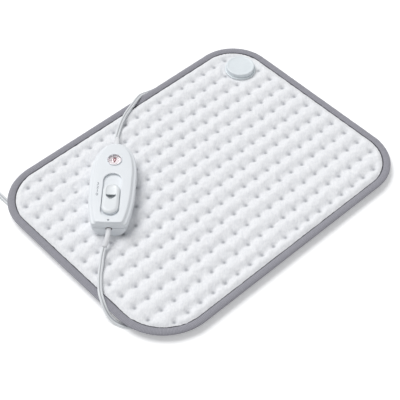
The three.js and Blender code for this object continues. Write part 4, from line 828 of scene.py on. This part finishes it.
# The controller's underside over a point, where it is above the cover
def gripFloor(deep):
    profile = grip["lowerProfile"]
    for (z0, d0), (z1, d1) in zip(profile, profile[1:]):
        if d1 <= deep <= d0:
            return grip["place"][2] + z0 + (z1 - z0) * (d0 - deep) / (d0 - d1)
    return grip["place"][2] if deep > profile[0][1] else farAway


# Height of the quilt without its tufts' pinches: ridges along the pad between the rows of tufts
def quiltHeight(x, y):
    inside = insideBy(x, y)
    row = (y - pad["firstRow"]) / pad["rowPitch"]
    across = abs(math.sin(math.pi * row)) if -0.5 < row < pad["rows"] - 0.5 else 1
    soft = pad["valleyRound"]
    share = (math.hypot(across, soft) - soft) / (math.hypot(1, soft) - soft)
    lastColumn = pad["firstColumn"] + (pad["columns"] - 1) * pad["columnPitch"]
    past = max(pad["firstColumn"] - x, x - lastColumn, 0.0)
    held = (1 - smoothStep(0, pad["rowFade"], past)) * smoothStep(pad["heldFrom"], pad["heldTo"], inside)
    z = pad["crest"] - pad["valley"] * (1 - share) * held
    z -= pad["dip"] * math.exp(-(tuftDistance(x, y) / pad["dipSpread"]) ** 2)
    rise = min(1.0, max(0.0, (inside - pad["tapeWidth"] + pad["underTape"]) / pad["borderRise"]))
    z = pad["edgeHeight"] + (z - pad["edgeHeight"]) * (1 - (1 - rise) ** pad["borderRound"])
    low, flat = pad["discSeat"], pad["discFlat"]
    return low + (z - low) * smoothStep(flat, flat + pad["discRise"], fromDisc(x, y)) if z > low else z


puff = {
    "split": 6, "margin": 6, "heldEdge": 12, "heldGrip": -4, "heldDisc": 3, "rowHold": 0.12,
    "pressure": 2.6, "stiffness": 14.0, "bending": 0.4, "mass": 0.12, "quality": 6, "slack": -0.02, "frames": 20, "cap": 0.75,
}


# Blows the cover up between its tufts as cloth, and gives how far each point of a coarse grid rose
def puffedGrid():
    stepX, stepY = pad["columnPitch"] / puff["split"], pad["rowPitch"] / puff["split"]
    split, margin = puff["split"], puff["margin"]
    wide, deep = pad["columns"] * split, pad["rows"] * split
    spots, points, pins = {}, [], []
    for j in range(-margin, deep + margin):
        for i in range(-margin, wide + margin):
            x, y = pad["firstColumn"] + i * stepX, pad["firstRow"] + j * stepY
            if insideBy(x, y) < pad["coverInset"]:
                continue
            onTuft = i % split == 0 and j % split == 0 and 0 <= i < wide and 0 <= j < deep and tuftAt(i // split, j // split)
            held = onTuft or insideBy(x, y) < puff["heldEdge"] or gripPressed(x, y) > puff["heldGrip"]
            held = held or fromDisc(x, y) < pad["discFlat"] + puff["heldDisc"]
            spots[(i, j)] = len(points)
            points.append((x, y, quiltHeight(x, y)))
            pins.append(1.0 if held else puff["rowHold"] if j % split == 0 else 0.0)
    faces = [(spots[(i, j)], spots[(i + 1, j)], spots[(i + 1, j + 1)], spots[(i, j + 1)]) for i, j in spots
        if (i + 1, j) in spots and (i, j + 1) in spots and (i + 1, j + 1) in spots]
    sheet = meshPiece("puffSheet", points, faces)
    group = sheet.vertex_groups.new(name="held")
    for k, weight in enumerate(pins):
        if weight:
            group.add([k], weight, "REPLACE")
    makeActive(sheet)
    cloth = sheet.modifiers.new("puff", "CLOTH")
    cloth.settings.quality = puff["quality"]
    cloth.settings.mass = puff["mass"]
    cloth.settings.tension_stiffness = cloth.settings.compression_stiffness = puff["stiffness"]
    cloth.settings.shear_stiffness = puff["stiffness"] / 2
    cloth.settings.bending_stiffness = puff["bending"]
    cloth.settings.use_pressure = True
    cloth.settings.uniform_pressure_force = puff["pressure"]
    cloth.settings.vertex_group_mass = "held"
    cloth.settings.shrink_min = puff["slack"]
    cloth.settings.effector_weights.gravity = 0
    cloth.collision_settings.use_collision = False
    cloth.point_cache.frame_start, cloth.point_cache.frame_end = 1, puff["frames"]
    for f in range(1, puff["frames"] + 1):
        bpy.context.scene.frame_set(f)
    bpy.ops.object.modifier_apply(modifier="puff")
    bpy.context.scene.frame_set(1)
    rose = {}
    for spot, k in spots.items():
        grown = sheet.data.vertices[k].co.z / mm - points[k][2]
        rose[spot] = max(-puff["cap"], min(puff["cap"], grown))
    bpy.data.objects.remove(sheet)
    print("cloth rose by", round(sum(rose.values()) / len(rose), 2), "mm on average")
    return rose


rose = puffedGrid()


def roseAt(x, y):
    i = (x - pad["firstColumn"]) / pad["columnPitch"] * puff["split"]
    j = (y - pad["firstRow"]) / pad["rowPitch"] * puff["split"]
    a, b = math.floor(i), math.floor(j)
    u, v = i - a, j - b
    low = rose.get((a, b), 0) * (1 - u) + rose.get((a + 1, b), 0) * u
    high = rose.get((a, b + 1), 0) * (1 - u) + rose.get((a + 1, b + 1), 0) * u
    return low * (1 - v) + high * v


def coverHeight(x, y):
    z = quiltHeight(x, y) + roseAt(x, y)
    pinched = math.exp(-(tuftDistance(x, y) / pad["pinchSpread"]) ** 2)
    fold = sum(tall * noise.noise(Vector((x / size, y / size, place))) for tall, size, place in pad["folds"])
    z += fold * (1 - pinched) * smoothStep(pad["foldFrom"], pad["foldTo"], insideBy(x, y))
    z -= max(0, z - pad["tuftHeight"]) * pinched
    z = min(z, gripFloor(gripPressed(x, y)) - pad["underGrip"])
    return max(z, pad["lowest"]), pinched


# Lines of the cover's mesh along one side, close together beside the tufts
def meshLines(first, pitch, count, near, limit):
    found = []
    for i in range(count):
        for o in near:
            found += [first + i * pitch - o, first + i * pitch + o]
        if i < count - 1:
            found.append(first + (i + 0.5) * pitch)
    last = first + (count - 1) * pitch
    for k in range(1, pad["openLines"] + 1):
        found += [first - near[-1] - k * pad["openStep"], last + near[-1] + k * pad["openStep"]]
    kept = sorted({round(v, 4) for v in found if abs(v) < limit - pad["leastGap"]})
    return [-limit, *kept, limit]


# The edges that only one face has
def openEdges(faces):
    found = {}
    for face in faces:
        for a, b in zip(face, face[1:] + face[:1]):
            if found.pop((b, a), None) is None:
                found[(a, b)] = True
    return found


# The cover's top on those lines, its border drawn onto the pad's outline and the disc's hole, then closed below
def quiltedPiece():
    inset = pad["coverInset"]
    xs = meshLines(pad["firstColumn"], pad["columnPitch"], pad["columns"], pad["columnLines"], pad["halfLength"] - inset)
    ys = meshLines(pad["firstRow"], pad["rowPitch"], pad["rows"], pad["rowLines"], pad["halfWidth"] - inset)
    dx, dy = pad["disc"]
    covered = [[insideBy(x, y) > inset - hair and fromDisc(x, y) > pad["discHole"] for x in xs] for y in ys]
    number, spots, quads = {}, [], []
    for j in range(len(ys) - 1):
        for i in range(len(xs) - 1):
            corners = ((i, j), (i + 1, j), (i + 1, j + 1), (i, j + 1))
            if not all(covered[b][a] for a, b in corners):
                continue
            for corner in corners:
                if corner not in number:
                    number[corner] = len(spots)
                    spots.append((xs[corner[0]], ys[corner[1]]))
            quads.append(tuple(number[corner] for corner in corners))
    for k in {k for edge in openEdges(quads) for k in edge}:
        x, y = spots[k]
        away = fromDisc(x, y)
        if away < pad["discHole"] + pad["discReach"]:
            spots[k] = (dx + (x - dx) * pad["discHole"] / away, dy + (y - dy) * pad["discHole"] / away)
        elif insideBy(x, y) > inset + hair:
            r = cornerAt(x, y)
            cx = math.copysign(pad["halfLength"] - r, x)
            cy = math.copysign(pad["halfWidth"] - r, y)
            out = (r - inset) / math.hypot(x - cx, y - cy)
            spots[k] = (cx + (x - cx) * out, cy + (y - cy) * out)
    points, marks = [], []
    for x, y in spots:
        z, mark = coverHeight(x, y)
        points.append((x, y, z))
        marks.append(mark)
    piece = meshPiece("fleeceCover", points, quads)
    pinch = piece.data.attributes.new("pinch", "FLOAT", "POINT")
    pinch.data.foreach_set("value", marks)
    startEdit(piece, "DESELECT")
    bpy.ops.mesh.select_non_manifold()
    bpy.ops.mesh.extrude_region_move()
    grown = bmesh.from_edit_mesh(piece.data)
    for v in grown.verts:
        if v.select:
            v.co.z = pad["underside"] * mm
    bmesh.update_edit_mesh(piece.data)
    bpy.ops.mesh.fill(use_beauty=False)
    endEdit()
    return piece


fleeceCover = quiltedPiece()
seat(fleeceCover, fleeceLook, replaces=["quilted_cover"])
print("cover ready:", len(fleeceCover.data.polygons), "faces")

# Back of the pad: a cloth that the hidden stretches of the leads press up

back = {
    "inset": 9.4, "step": 2.4, "zone": 50.0, "thickness": 0.7,
    "hole": 20.9, "discRadius": 21, "discHeight": 0.3,
    # where the leads are under the pad: from x and up to y, and for the mains lead up to z
    "padLead": (60, 152), "mainsLead": (-203, 150, 3), "cell": 8,
    "lift": 4.2, "liftFrom": 3.4, "liftTo": 7.5,
    "slack": 0.25, "slackSize": 14, "slackPlace": 4, "edgeWidth": 12, "edgeShare": 0.3,
}
fromX, toY = back["padLead"]
hidden = [p for p in padPath if p.y < toY and p.x > fromX]
fromX, toY, toZ = back["mainsLead"]
hidden += [p for p in mainsPath if p.x > fromX and p.y < toY and p.z < toZ]
hiddenCells = {}
for p in hidden:
    hiddenCells.setdefault((int(p.x // back["cell"]), int(p.y // back["cell"])), []).append(p)


def backHeight(x, y):
    if fromDisc(x, y) <= back["discRadius"]:
        return back["discHeight"]
    near = farAway
    for i in (-1, 0, 1):
        for j in (-1, 0, 1):
            for p in hiddenCells.get((int(x // back["cell"]) + i, int(y // back["cell"]) + j), ()):
                near = min(near, math.hypot(p.x - x, p.y - y))
    lifted = back["lift"] * (1 - smoothStep(back["liftFrom"], back["liftTo"], near))
    wave = noise.noise(Vector((x / back["slackSize"], y / back["slackSize"], back["slackPlace"])))
    slack = back["slack"] * wave + back["slack"]
    return max(lifted, slack if insideBy(x, y) > back["edgeWidth"] else slack * back["edgeShare"])


# The sheet on rows that narrow with the pad's corners, closed by its own underside
def backPiece():
    step, zone = back["step"], back["zone"]
    halfX, halfY = pad["halfLength"] - back["inset"], pad["halfWidth"] - back["inset"]
    columns, zoneRows = round(2 * halfX / step), round(zone / step)
    middle = round((2 * halfY - 2 * zone) / step)
    ys = [-halfY + zone * (1 - math.cos(math.pi / 2 * k / zoneRows)) for k in range(zoneRows)]
    ys += [-halfY + zone + (2 * halfY - 2 * zone) * k / middle for k in range(middle + 1)]
    ys += [-y for y in reversed(ys[:zoneRows])]
    top, under = [], []
    for y in ys:
        ends = []
        for way in (-1, 1):
            r = cornerAt(way, y) - back["inset"]
            over = max(0.0, abs(y) - (halfY - r))
            ends.append(way * (halfX - r + math.sqrt(max(0.0, r * r - over * over))))
        for i in range(columns + 1):
            x = ends[0] + (ends[1] - ends[0]) * i / columns
            z = backHeight(x, y)
            top.append((x, y, z + back["thickness"]))
            under.append((x, y, z))
    wide, count = columns + 1, len(top)
    faces = []
    for j in range(len(ys) - 1):
        for i in range(columns):
            a = j * wide + i
            quad = (a, a + 1, a + wide + 1, a + wide)
            if all(fromDisc(*top[q][:2]) >= back["hole"] for q in quad):
                faces.append(quad)
    closed = faces + [tuple(reversed([q + count for q in quad])) for quad in faces]
    closed += [(a, a + count, b + count, b) for a, b in openEdges(faces)]
    piece = meshPiece("backSheet", top + under, closed)
    uv = piece.data.uv_layers.new(name="UVMap")
    for loop in piece.data.loops:
        co = piece.data.vertices[loop.vertex_index].co
        uv.data[loop.index].uv = (co.x / mm, co.y / mm)
    startEdit(piece)
    bpy.ops.mesh.delete_loose()
    bpy.ops.object.mode_set(mode="OBJECT")
    return piece


backSheet = backPiece()
seat(backSheet, backLook, replaces=["back_cover"])
print("back ready")

binding = {
    # inset from the pad's outline and height of the folded tape, outside first, then inside
    "outside": [(10.4, 0.0), (9.2, 0.15), (7.9, 0.75), (6.6, 1.8), (5.2, 3.1), (3.8, 4.5), (2.5, 5.8), (1.4, 7.0), (0.55, 8.0),
        (0.1, 8.9), (0.05, 9.6), (0.5, 10.3), (1.5, 10.9), (3.1, 11.2), (5.0, 11.25), (6.8, 10.95), (8.1, 10.4), (8.9, 9.95),
        (9.5, 9.85), (10.1, 9.75), (10.45, 9.45)],
    "inside": [(10.2, 9.2), (7, 9.7), (3.2, 9.9), (1.9, 9.2), (2.4, 8.0), (4.0, 6.3), (6.2, 4.1), (8.1, 2.2), (9.4, 1.2),
        (10.4, 0.9)],
    "step": 1.6, "cornerSteps": 48,
    # puckers: their height, their size along and up, and how far they push the tape out between two heights
    "pucker": 0.2, "coarse": (5, 6), "fine": (2.2, 4), "fineShare": 0.6, "insideShare": 0.2,
    "footHeight": 0.5, "pushShare": 1 / 260, "pushFrom": 0.6, "pushTo": 10,
    "seamFrom": 8.3, "seamWidth": 0.7, "seamAbove": 5, "measuredAt": 6,
}


def bindingRing():
    section = binding["outside"] + binding["inside"]
    loops = [roundedOutline(d, binding["step"], binding["cornerSteps"]) for d, z in section]
    stations, count = len(loops[0]), len(section)
    coarse, coarseUp = binding["coarse"]
    fine, fineUp = binding["fine"]
    points, faces = [], []
    for i in range(stations):
        x, y = loops[0][i]
        for k, (d, z) in enumerate(section):
            px, py = loops[k][i]
            wave = noise.noise(Vector((x / coarse, y / coarse, z / coarseUp)))
            wave += binding["fineShare"] * noise.noise(Vector((x / fine, y / fine, z / fineUp)))
            swell = binding["pucker"] * wave
            seen = k < len(binding["outside"])
            lifted = z + swell * (1 if seen and z > binding["footHeight"] else binding["insideShare"])
            out = 1 + swell * binding["pushShare"] if seen and binding["pushFrom"] < z < binding["pushTo"] else 1
            points.append((px * out, py * out, max(0.0, lifted)))
    for i in range(stations):
        for k in range(count):
            a, b = i * count + k, i * count + (k + 1) % count
            c, d = (i + 1) % stations * count + k, (i + 1) % stations * count + (k + 1) % count
            faces.append((a, b, d, c))
    piece = meshPiece("bindingTape", points, faces)
    uv = piece.data.uv_layers.new(name="UVMap")
    along = [0.0]
    measured = loops[binding["measuredAt"]]
    for (x0, y0), (x1, y1) in zip(measured, measured[1:] + measured[:1]):
        along.append(along[-1] + math.hypot(x1 - x0, y1 - y0))
    across = [0.0]
    for (d0, z0), (d1, z1) in zip(section, section[1:] + section[:1]):
        across.append(across[-1] + math.hypot(d1 - d0, z1 - z0))
    for polygon in piece.data.polygons:
        i, k = divmod(polygon.index, count)
        for loop, (row, column) in zip(polygon.loop_indices, ((i, k), (i, k + 1), (i + 1, k + 1), (i + 1, k))):
            uv.data[loop].uv = (along[row], across[column])
    # Painted shade along the inner seam, where the tape meets the fleece
    seamShade = piece.data.attributes.new("seamShade", "FLOAT", "POINT")
    start = binding["seamFrom"]
    marks = [smoothStep(start, start + binding["seamWidth"], d) if z > binding["seamAbove"] else 0.0 for d, z in section]
    seamShade.data.foreach_set("value", marks * stations)
    startEdit(piece)
    endEdit()
    return piece


bindingTape = bindingRing()
seat(bindingTape, tapeLook, replaces=["edge_binding"])
print("binding ready")


# Lead entry disc

disc = {
    # radius and height, from the underside up the outside to the middle
    "cap": [(16.3, 9.5), (19.2, 9.6), (19.6, 9.68), (19.78, 9.9), (19.8, 10.9), (19.72, 11.25), (19.4, 11.45), (18.6, 11.55),
        (17.9, 11.5), (17.35, 11.3), (17.25, 11.3), (17.25, 11.75), (17.9, 11.8), (18.0, 11.95), (17.95, 13.2), (17.75, 15.3),
        (17.62, 15.95), (17.4, 16.35), (17.05, 16.55), (16.5, 16.6), (15.6, 16.58), (15.2, 16.45), (14.8, 16.3), (14.2, 16.26),
        (9, 16.32), (3, 16.36), (0.05, 16.36)],
    "segments": 112, "crease": 50,
}
capRings = turnedRings(*pad["disc"], 0, disc["cap"], disc["segments"])
discCap = loftPiece("discCap", capRings, end="point", sharp=disc["crease"])
seat(discCap, discLook, replaces=["entry_cap"])

# Controller shells

recess = {
    "tail": -84.8, "nose": -20, "width": 21, "depth": 3,
    # depth under the top, then height over the floor, with how far the wall stands out there
    "lip": [(0, 1.2), (0, 0.5), (0.12, 0.2), (0.4, 0.05), (0.8, 0.12)],
    "foot": [(0.3, 0.75), (0.05, 0.7), (0, 0.4)],
}
lensHole = {"radius": 8.45, "from": -4, "to": 2, "segments": 72}
slotCut = {"tail": -68.9, "nose": -44.7, "width": 7, "from": -3, "to": 1}
well = {"places": ((11, 10.5), (11, -10.5), (-80, 10), (-80, -10)), "profile": [(2.7, -1), (2.7, 3.9)], "segments": 28}

lowerRings = [gripOutline(z, d) for z, d in grip["lowerProfile"]]
lowerShell = loftPiece("lowerShell", lowerRings, end="open", sharp=grip["crease"])
applied(lowerShell, "SOLIDIFY", thickness=grip["wall"] * mm, offset=-1)
for s, t in well["places"]:
    cx, cy, cz = toPad(s, t, 0)
    cut(lowerShell, loftPiece("screwWell", turnedRings(cx, cy, cz, well["profile"], well["segments"])))
smoothByAngle(lowerShell, grip["crease"])
seat(lowerShell, shellLook, replaces=["housing_lower"])

upperRings = [gripOutline(z, d, d * grip["tailShare"]) for z, d in grip["upperProfile"]]
top = grip["height"]
floorAt = top - recess["depth"]
recessRings = [(top - depth, grow) for depth, grow in recess["lip"]] + [(floorAt + rise, grow) for rise, grow in recess["foot"]]
upperRings += [gripPill(z, recess["tail"], recess["nose"], recess["width"], grow) for z, grow in recessRings]
upperShell = loftPiece("upperShell", upperRings, start="open", sharp=grip["crease"])
applied(upperShell, "SOLIDIFY", thickness=grip["wall"] * mm, offset=-1)
cx, cy, cz = toPad(0, 0, 0)
profile = [(lensHole["radius"], top + lensHole[end]) for end in ("from", "to")]
cut(upperShell, loftPiece("lensCut", turnedRings(cx, cy, cz, profile, lensHole["segments"])))
heights = (floorAt + slotCut["from"], floorAt + slotCut["to"])
cut(upperShell, loftPiece("slotCutter", [gripPill(z, slotCut["tail"], slotCut["nose"], slotCut["width"]) for z in heights]))
smoothByAngle(upperShell, grip["crease"])
seat(upperShell, shellLook, replaces=["housing_upper"])
print("shells ready")

# Slider knob

knob = {
    # height and inset from the pill's outline
    "profile": [(21.3, 0.25), (21.6, 0.05), (23.4, 0.0), (23.9, 0.12), (24.4, 0.5), (25.0, 1.35), (25.4, 2.05), (25.68, 2.6),
        (25.83, 3.1), (25.9, 3.8)],
    "tail": -80, "nose": -36.2, "width": 19.6,
    "neck": (-68.6, -60.6, 6.4), "neckHeights": (18.5, 21.7),
    # place along, lowest height and half width of the thumb's hollow
    "hollow": [(-60.2, 23.2, 0.7), (-59.6, 22.6, 1.6), (-58.6, 22.4, 2.8), (-57.6, 22.4, 3.9), (-56.4, 22.4, 4.9),
        (-55, 22.4, 5.6), (-53.6, 22.4, 6.0), (-53.0, 22.6, 6.1), (-52.8, 24.4, 6.05), (-52, 24.6, 6.2), (-50, 24.65, 6.4),
        (-48, 24.7, 6.4), (-45.5, 24.8, 6.2), (-43, 24.9, 5.7), (-41.2, 25.2, 4.9), (-40, 25.65, 3.6), (-39.4, 25.95, 1.5)],
    "hollowTop": 26.6, "hollowRound": 0.5, "hollowSteps": 24, "lidSteps": 8,
    # place along and half width of the room under the hollow's floor
    "room": [(-59.8, 1.0), (-58.6, 2.4), (-57.6, 3.6), (-56.4, 4.7), (-55, 5.4), (-53, 5.9), (-47, 5.9)],
    "roomFrom": 20.4, "roomTo": 23.8,
    "voxel": 0.3, "smoothing": 0.5, "smoothings": 3,
}
knobRings = [gripPill(z, knob["tail"], knob["nose"], knob["width"], -inset) for z, inset in knob["profile"]]
sliderKnob = loftPiece("sliderKnobShell", knobRings)
hollowRings = []
lid, steps = knob["hollowTop"], knob["lidSteps"]
for s, low, half in knob["hollow"]:
    ring = []
    for k in range(knob["hollowSteps"] + 1):
        a = math.pi * k / knob["hollowSteps"]
        ring.append(toPad(s, -half * math.cos(a), lid - (lid - low) * abs(math.sin(a)) ** knob["hollowRound"]))
    ring += [toPad(s, half * (1 - 2 * k / steps), lid) for k in range(1, steps)]
    hollowRings.append(ring)
cut(sliderKnob, loftPiece("hollowCutter", hollowRings))
low, high = knob["roomFrom"], knob["roomTo"]
roomRings = [[toPad(s, t, z) for t, z in ((-half, low), (half, low), (half, high), (-half, high))] for s, half in knob["room"]]
cut(sliderKnob, loftPiece("roomCutter", roomRings))
cut(sliderKnob, loftPiece("knobNeck", [gripPill(z, *knob["neck"]) for z in knob["neckHeights"]]), "UNION")
applied(sliderKnob, "REMESH", mode="VOXEL", voxel_size=knob["voxel"] * mm)
applied(sliderKnob, "SMOOTH", factor=knob["smoothing"], iterations=knob["smoothings"])
makeActive(sliderKnob)
bpy.ops.object.shade_smooth()
seat(sliderKnob, knobLook, body="slider", replaces=["slider_knob"])

# Strain reliefs: sleeves that narrow to the leads, each out of an oval gap, whose shade is painted as a thin dark plate

relief = {
    "length": 21, "drop": 6.2, "root": (5.9, 4.2), "tip": (5.5, 3.3), "stations": 14, "sides": 28,
    # distance along the sleeve, and how much of its droop it has reached there
    "line": [(-0.06, 0), (0, 0), (0.33, 0.13), (0.67, 0.45), (1, 1)],
    "gap": (7.6, 5.7), "gapDepth": 0.6, "gapProud": 0.08, "gapCrease": 40,
    # name, place of the root, way along the controller, how far it leans aside, and the solid it stands for
    "ends": [("noseRelief", grip["noseStart"] + grip["noseReach"], 1, 1.7, "nose_strain_relief"),
        ("tailRelief", grip["tail"], -1, 3.4, "tail_strain_relief")],
}


def ovalSection(width, thickness):
    turns = [2 * math.pi * k / relief["sides"] for k in range(relief["sides"])]
    return [(width / 2 * math.cos(a), thickness / 2 * math.sin(a)) for a in turns]


for name, root, way, side, node in relief["ends"]:
    line = [toPad(root + way * relief["length"] * along, side * down, grip["leadHeight"] - relief["drop"] * down)
        for along, down in relief["line"]]
    path = curveThrough(line, relief["length"] / relief["stations"])
    sections = []
    for k in range(len(path)):
        share = k / (len(path) - 1)
        sections.append(ovalSection(*(a + (b - a) * share for a, b in zip(relief["root"], relief["tip"]))))
    sleeve = sweptPiece(name, path, sections)
    seat(sleeve, reliefLook, replaces=[node])
    # A thin dark oval plate just proud of the face: painted shade of the gap round the sleeve
    gapRoute = [Vector(toPad(root + way * d, 0, grip["leadHeight"])) for d in (relief["gapProud"], -relief["gapDepth"])]
    gap = sweptPiece(name + "Gap", gapRoute, [ovalSection(*relief["gap"])] * 2)
    smoothByAngle(gap, relief["gapCrease"])
    seat(gap, clampBlackAndGapShade)
print("strain reliefs ready")

# Lens and digits

lens = {
    "body": [(7.2, 22.65), (7.6, 22.75), (7.65, 24.9), (7.5, 25.3)],
    "shoulder": 7.3, "shoulderHeight": 25.4, "rise": 1.1, "round": 0.8, "domeSteps": 12, "segments": 72, "crease": 50,
    # closed profile of the rim, its first point given again at its end
    "rim": [(8.0, 22.5), (8.4, 22.5), (8.44, 24.0), (8.42, 25.1), (8.32, 25.3), (8.12, 25.3), (8.02, 25.15), (8.0, 22.5)],
    "mask": [(8.9, 22.1), (8.9, 22.35)], "maskSteps": 60, "opening": (-2.2, 5.6, 7.6), "openingHeights": (21.1, 23.35),
    "strip": (18.4, 22.0), "stripFrom": -18.2, "stripTo": 4.6, "stripWidth": 9,
}
dome = []
for k in range(1, lens["domeSteps"]):
    a = math.pi / 2 * k / lens["domeSteps"]
    dome.append((lens["shoulder"] * math.cos(a) ** lens["round"], lens["shoulderHeight"] + lens["rise"] * math.sin(a)))
lensRings = turnedRings(cx, cy, cz, lens["body"] + dome, lens["segments"])
lensDome = loftPiece("lensDome", lensRings, end="point", sharp=lens["crease"])
seat(lensDome, lensLook, replaces=["window_lens"])
rimRings = turnedRings(cx, cy, cz, lens["rim"], lens["segments"])
windowRim = loftPiece("windowRim", rimRings, start="open", end="open", sharp=lens["crease"])
startEdit(windowRim)
bpy.ops.mesh.remove_doubles(threshold=hair * mm)
endEdit()
seat(windowRim, shellLook)
maskDisc = loftPiece("maskDisc", turnedRings(cx, cy, cz, lens["mask"], lens["maskSteps"]))
cut(maskDisc, loftPiece("openingCutter", [gripPill(z, *lens["opening"]) for z in lens["openingHeights"]]))
seat(maskDisc, maskLook, replaces=["window_mask"])
half = lens["stripWidth"] / 2
corners = ((lens["stripFrom"], -half), (lens["stripTo"], -half), (lens["stripTo"], half), (lens["stripFrom"], half))
stripBar = loftPiece("stripBar", [[toPad(s, t, z) for s, t in corners] for z in lens["strip"]])
seat(stripBar, stripLook, body="slider", replaces=["number_strip"])

digits = {
    "pitch": 5.2, "relief": 0.04, "curveSteps": 6,
    # place of the 0 along and across, size, how much thicker than the font, height, and the way that the others follow it
    "strip": {"along": 1.9, "across": 0, "size": 7.3, "thicker": 0.26, "height": lens["strip"][1] + 0.05, "way": -1},
    "side": {"along": -52.4, "across": 16.1, "size": 5.6, "thicker": 0.06, "height": top + 0.04, "way": 1},
}


def flatDigit(name, k, row, look, body):
    clearSelection()
    bpy.ops.object.text_add(location=(0, 0, 0))
    piece = bpy.context.object
    piece.name = "%s_%d" % (name, k)
    piece.data.body = str(k)
    piece.data.size = row["size"] * mm
    piece.data.align_x = "CENTER"
    piece.data.align_y = "CENTER"
    piece.data.extrude = digits["relief"] * mm
    piece.data.offset = row["thicker"] * mm
    piece.data.resolution_u = digits["curveSteps"]
    bpy.ops.object.convert(target="MESH")
    piece = bpy.context.object
    along = row["along"] + row["way"] * digits["pitch"] * k
    place = Matrix.Translation(Vector(toPad(along, row["across"], row["height"])) * mm)
    piece.data.transform(place @ Matrix.Rotation(grip["turn"] - math.pi / 2, 4, "Z"))
    return seat(piece, look, body=body)


for k in range(4):
    flatDigit("stripDigit", k, digits["strip"], digitLook, "slider")
    flatDigit("sideDigit", k, digits["side"], inkLook, fixedBody)

dot = {"along": -89.2, "across": 0.5, "profile": [(1.3, -0.05), (1.3, 0.04)], "segments": 24}
tailMark = loftPiece("tailMark", turnedRings(*toPad(dot["along"], dot["across"], top), dot["profile"], dot["segments"]))
seat(tailMark, inkLook)
print("lens and digits ready")


# Looks of the CAD solids that stay

keptBy = [
    (feltLook, "element_carrier"), (wireLook, "heating_wire"), (discLook, "entry_base"), (boardLook, "circuit_board"),
    (componentLook, "thermal_cutout_1 thermal_cutout_2 entry_terminal triac"), (fuseLook, "fuse"), (resistorLook, "resistor"),
    (lampLook, "film_capacitor indicator_lamp"), (reliefLook, "entry_strain_relief plug_strain_relief"),
    (steelLook, "entry_screw_1 entry_screw_2 detent_spring slider_screw"), (knobLook, "slider_carrier"),
    (steelLook, "housing_screw_1 housing_screw_2 housing_screw_3 housing_screw_4"), (tieLook, "coil_tie"),
    (brassLook, "contact_rail_1 contact_rail_2 contact_bridge plug_pin_1 plug_pin_2"), (plugLook, "plug_body"),
    (innerLeadLook, "nose_inner_lead tail_inner_lead"), (clampBlackAndGapShade, "nose_cord_clamp tail_cord_clamp"),
]
kept = {name: look for look, names in keptBy for name in names.split()}
for name, look in kept.items():
    solid = nodes[name]
    solid.data.materials.clear()
    solid.data.materials.append(look)
print("kept solids dressed:", len(kept))
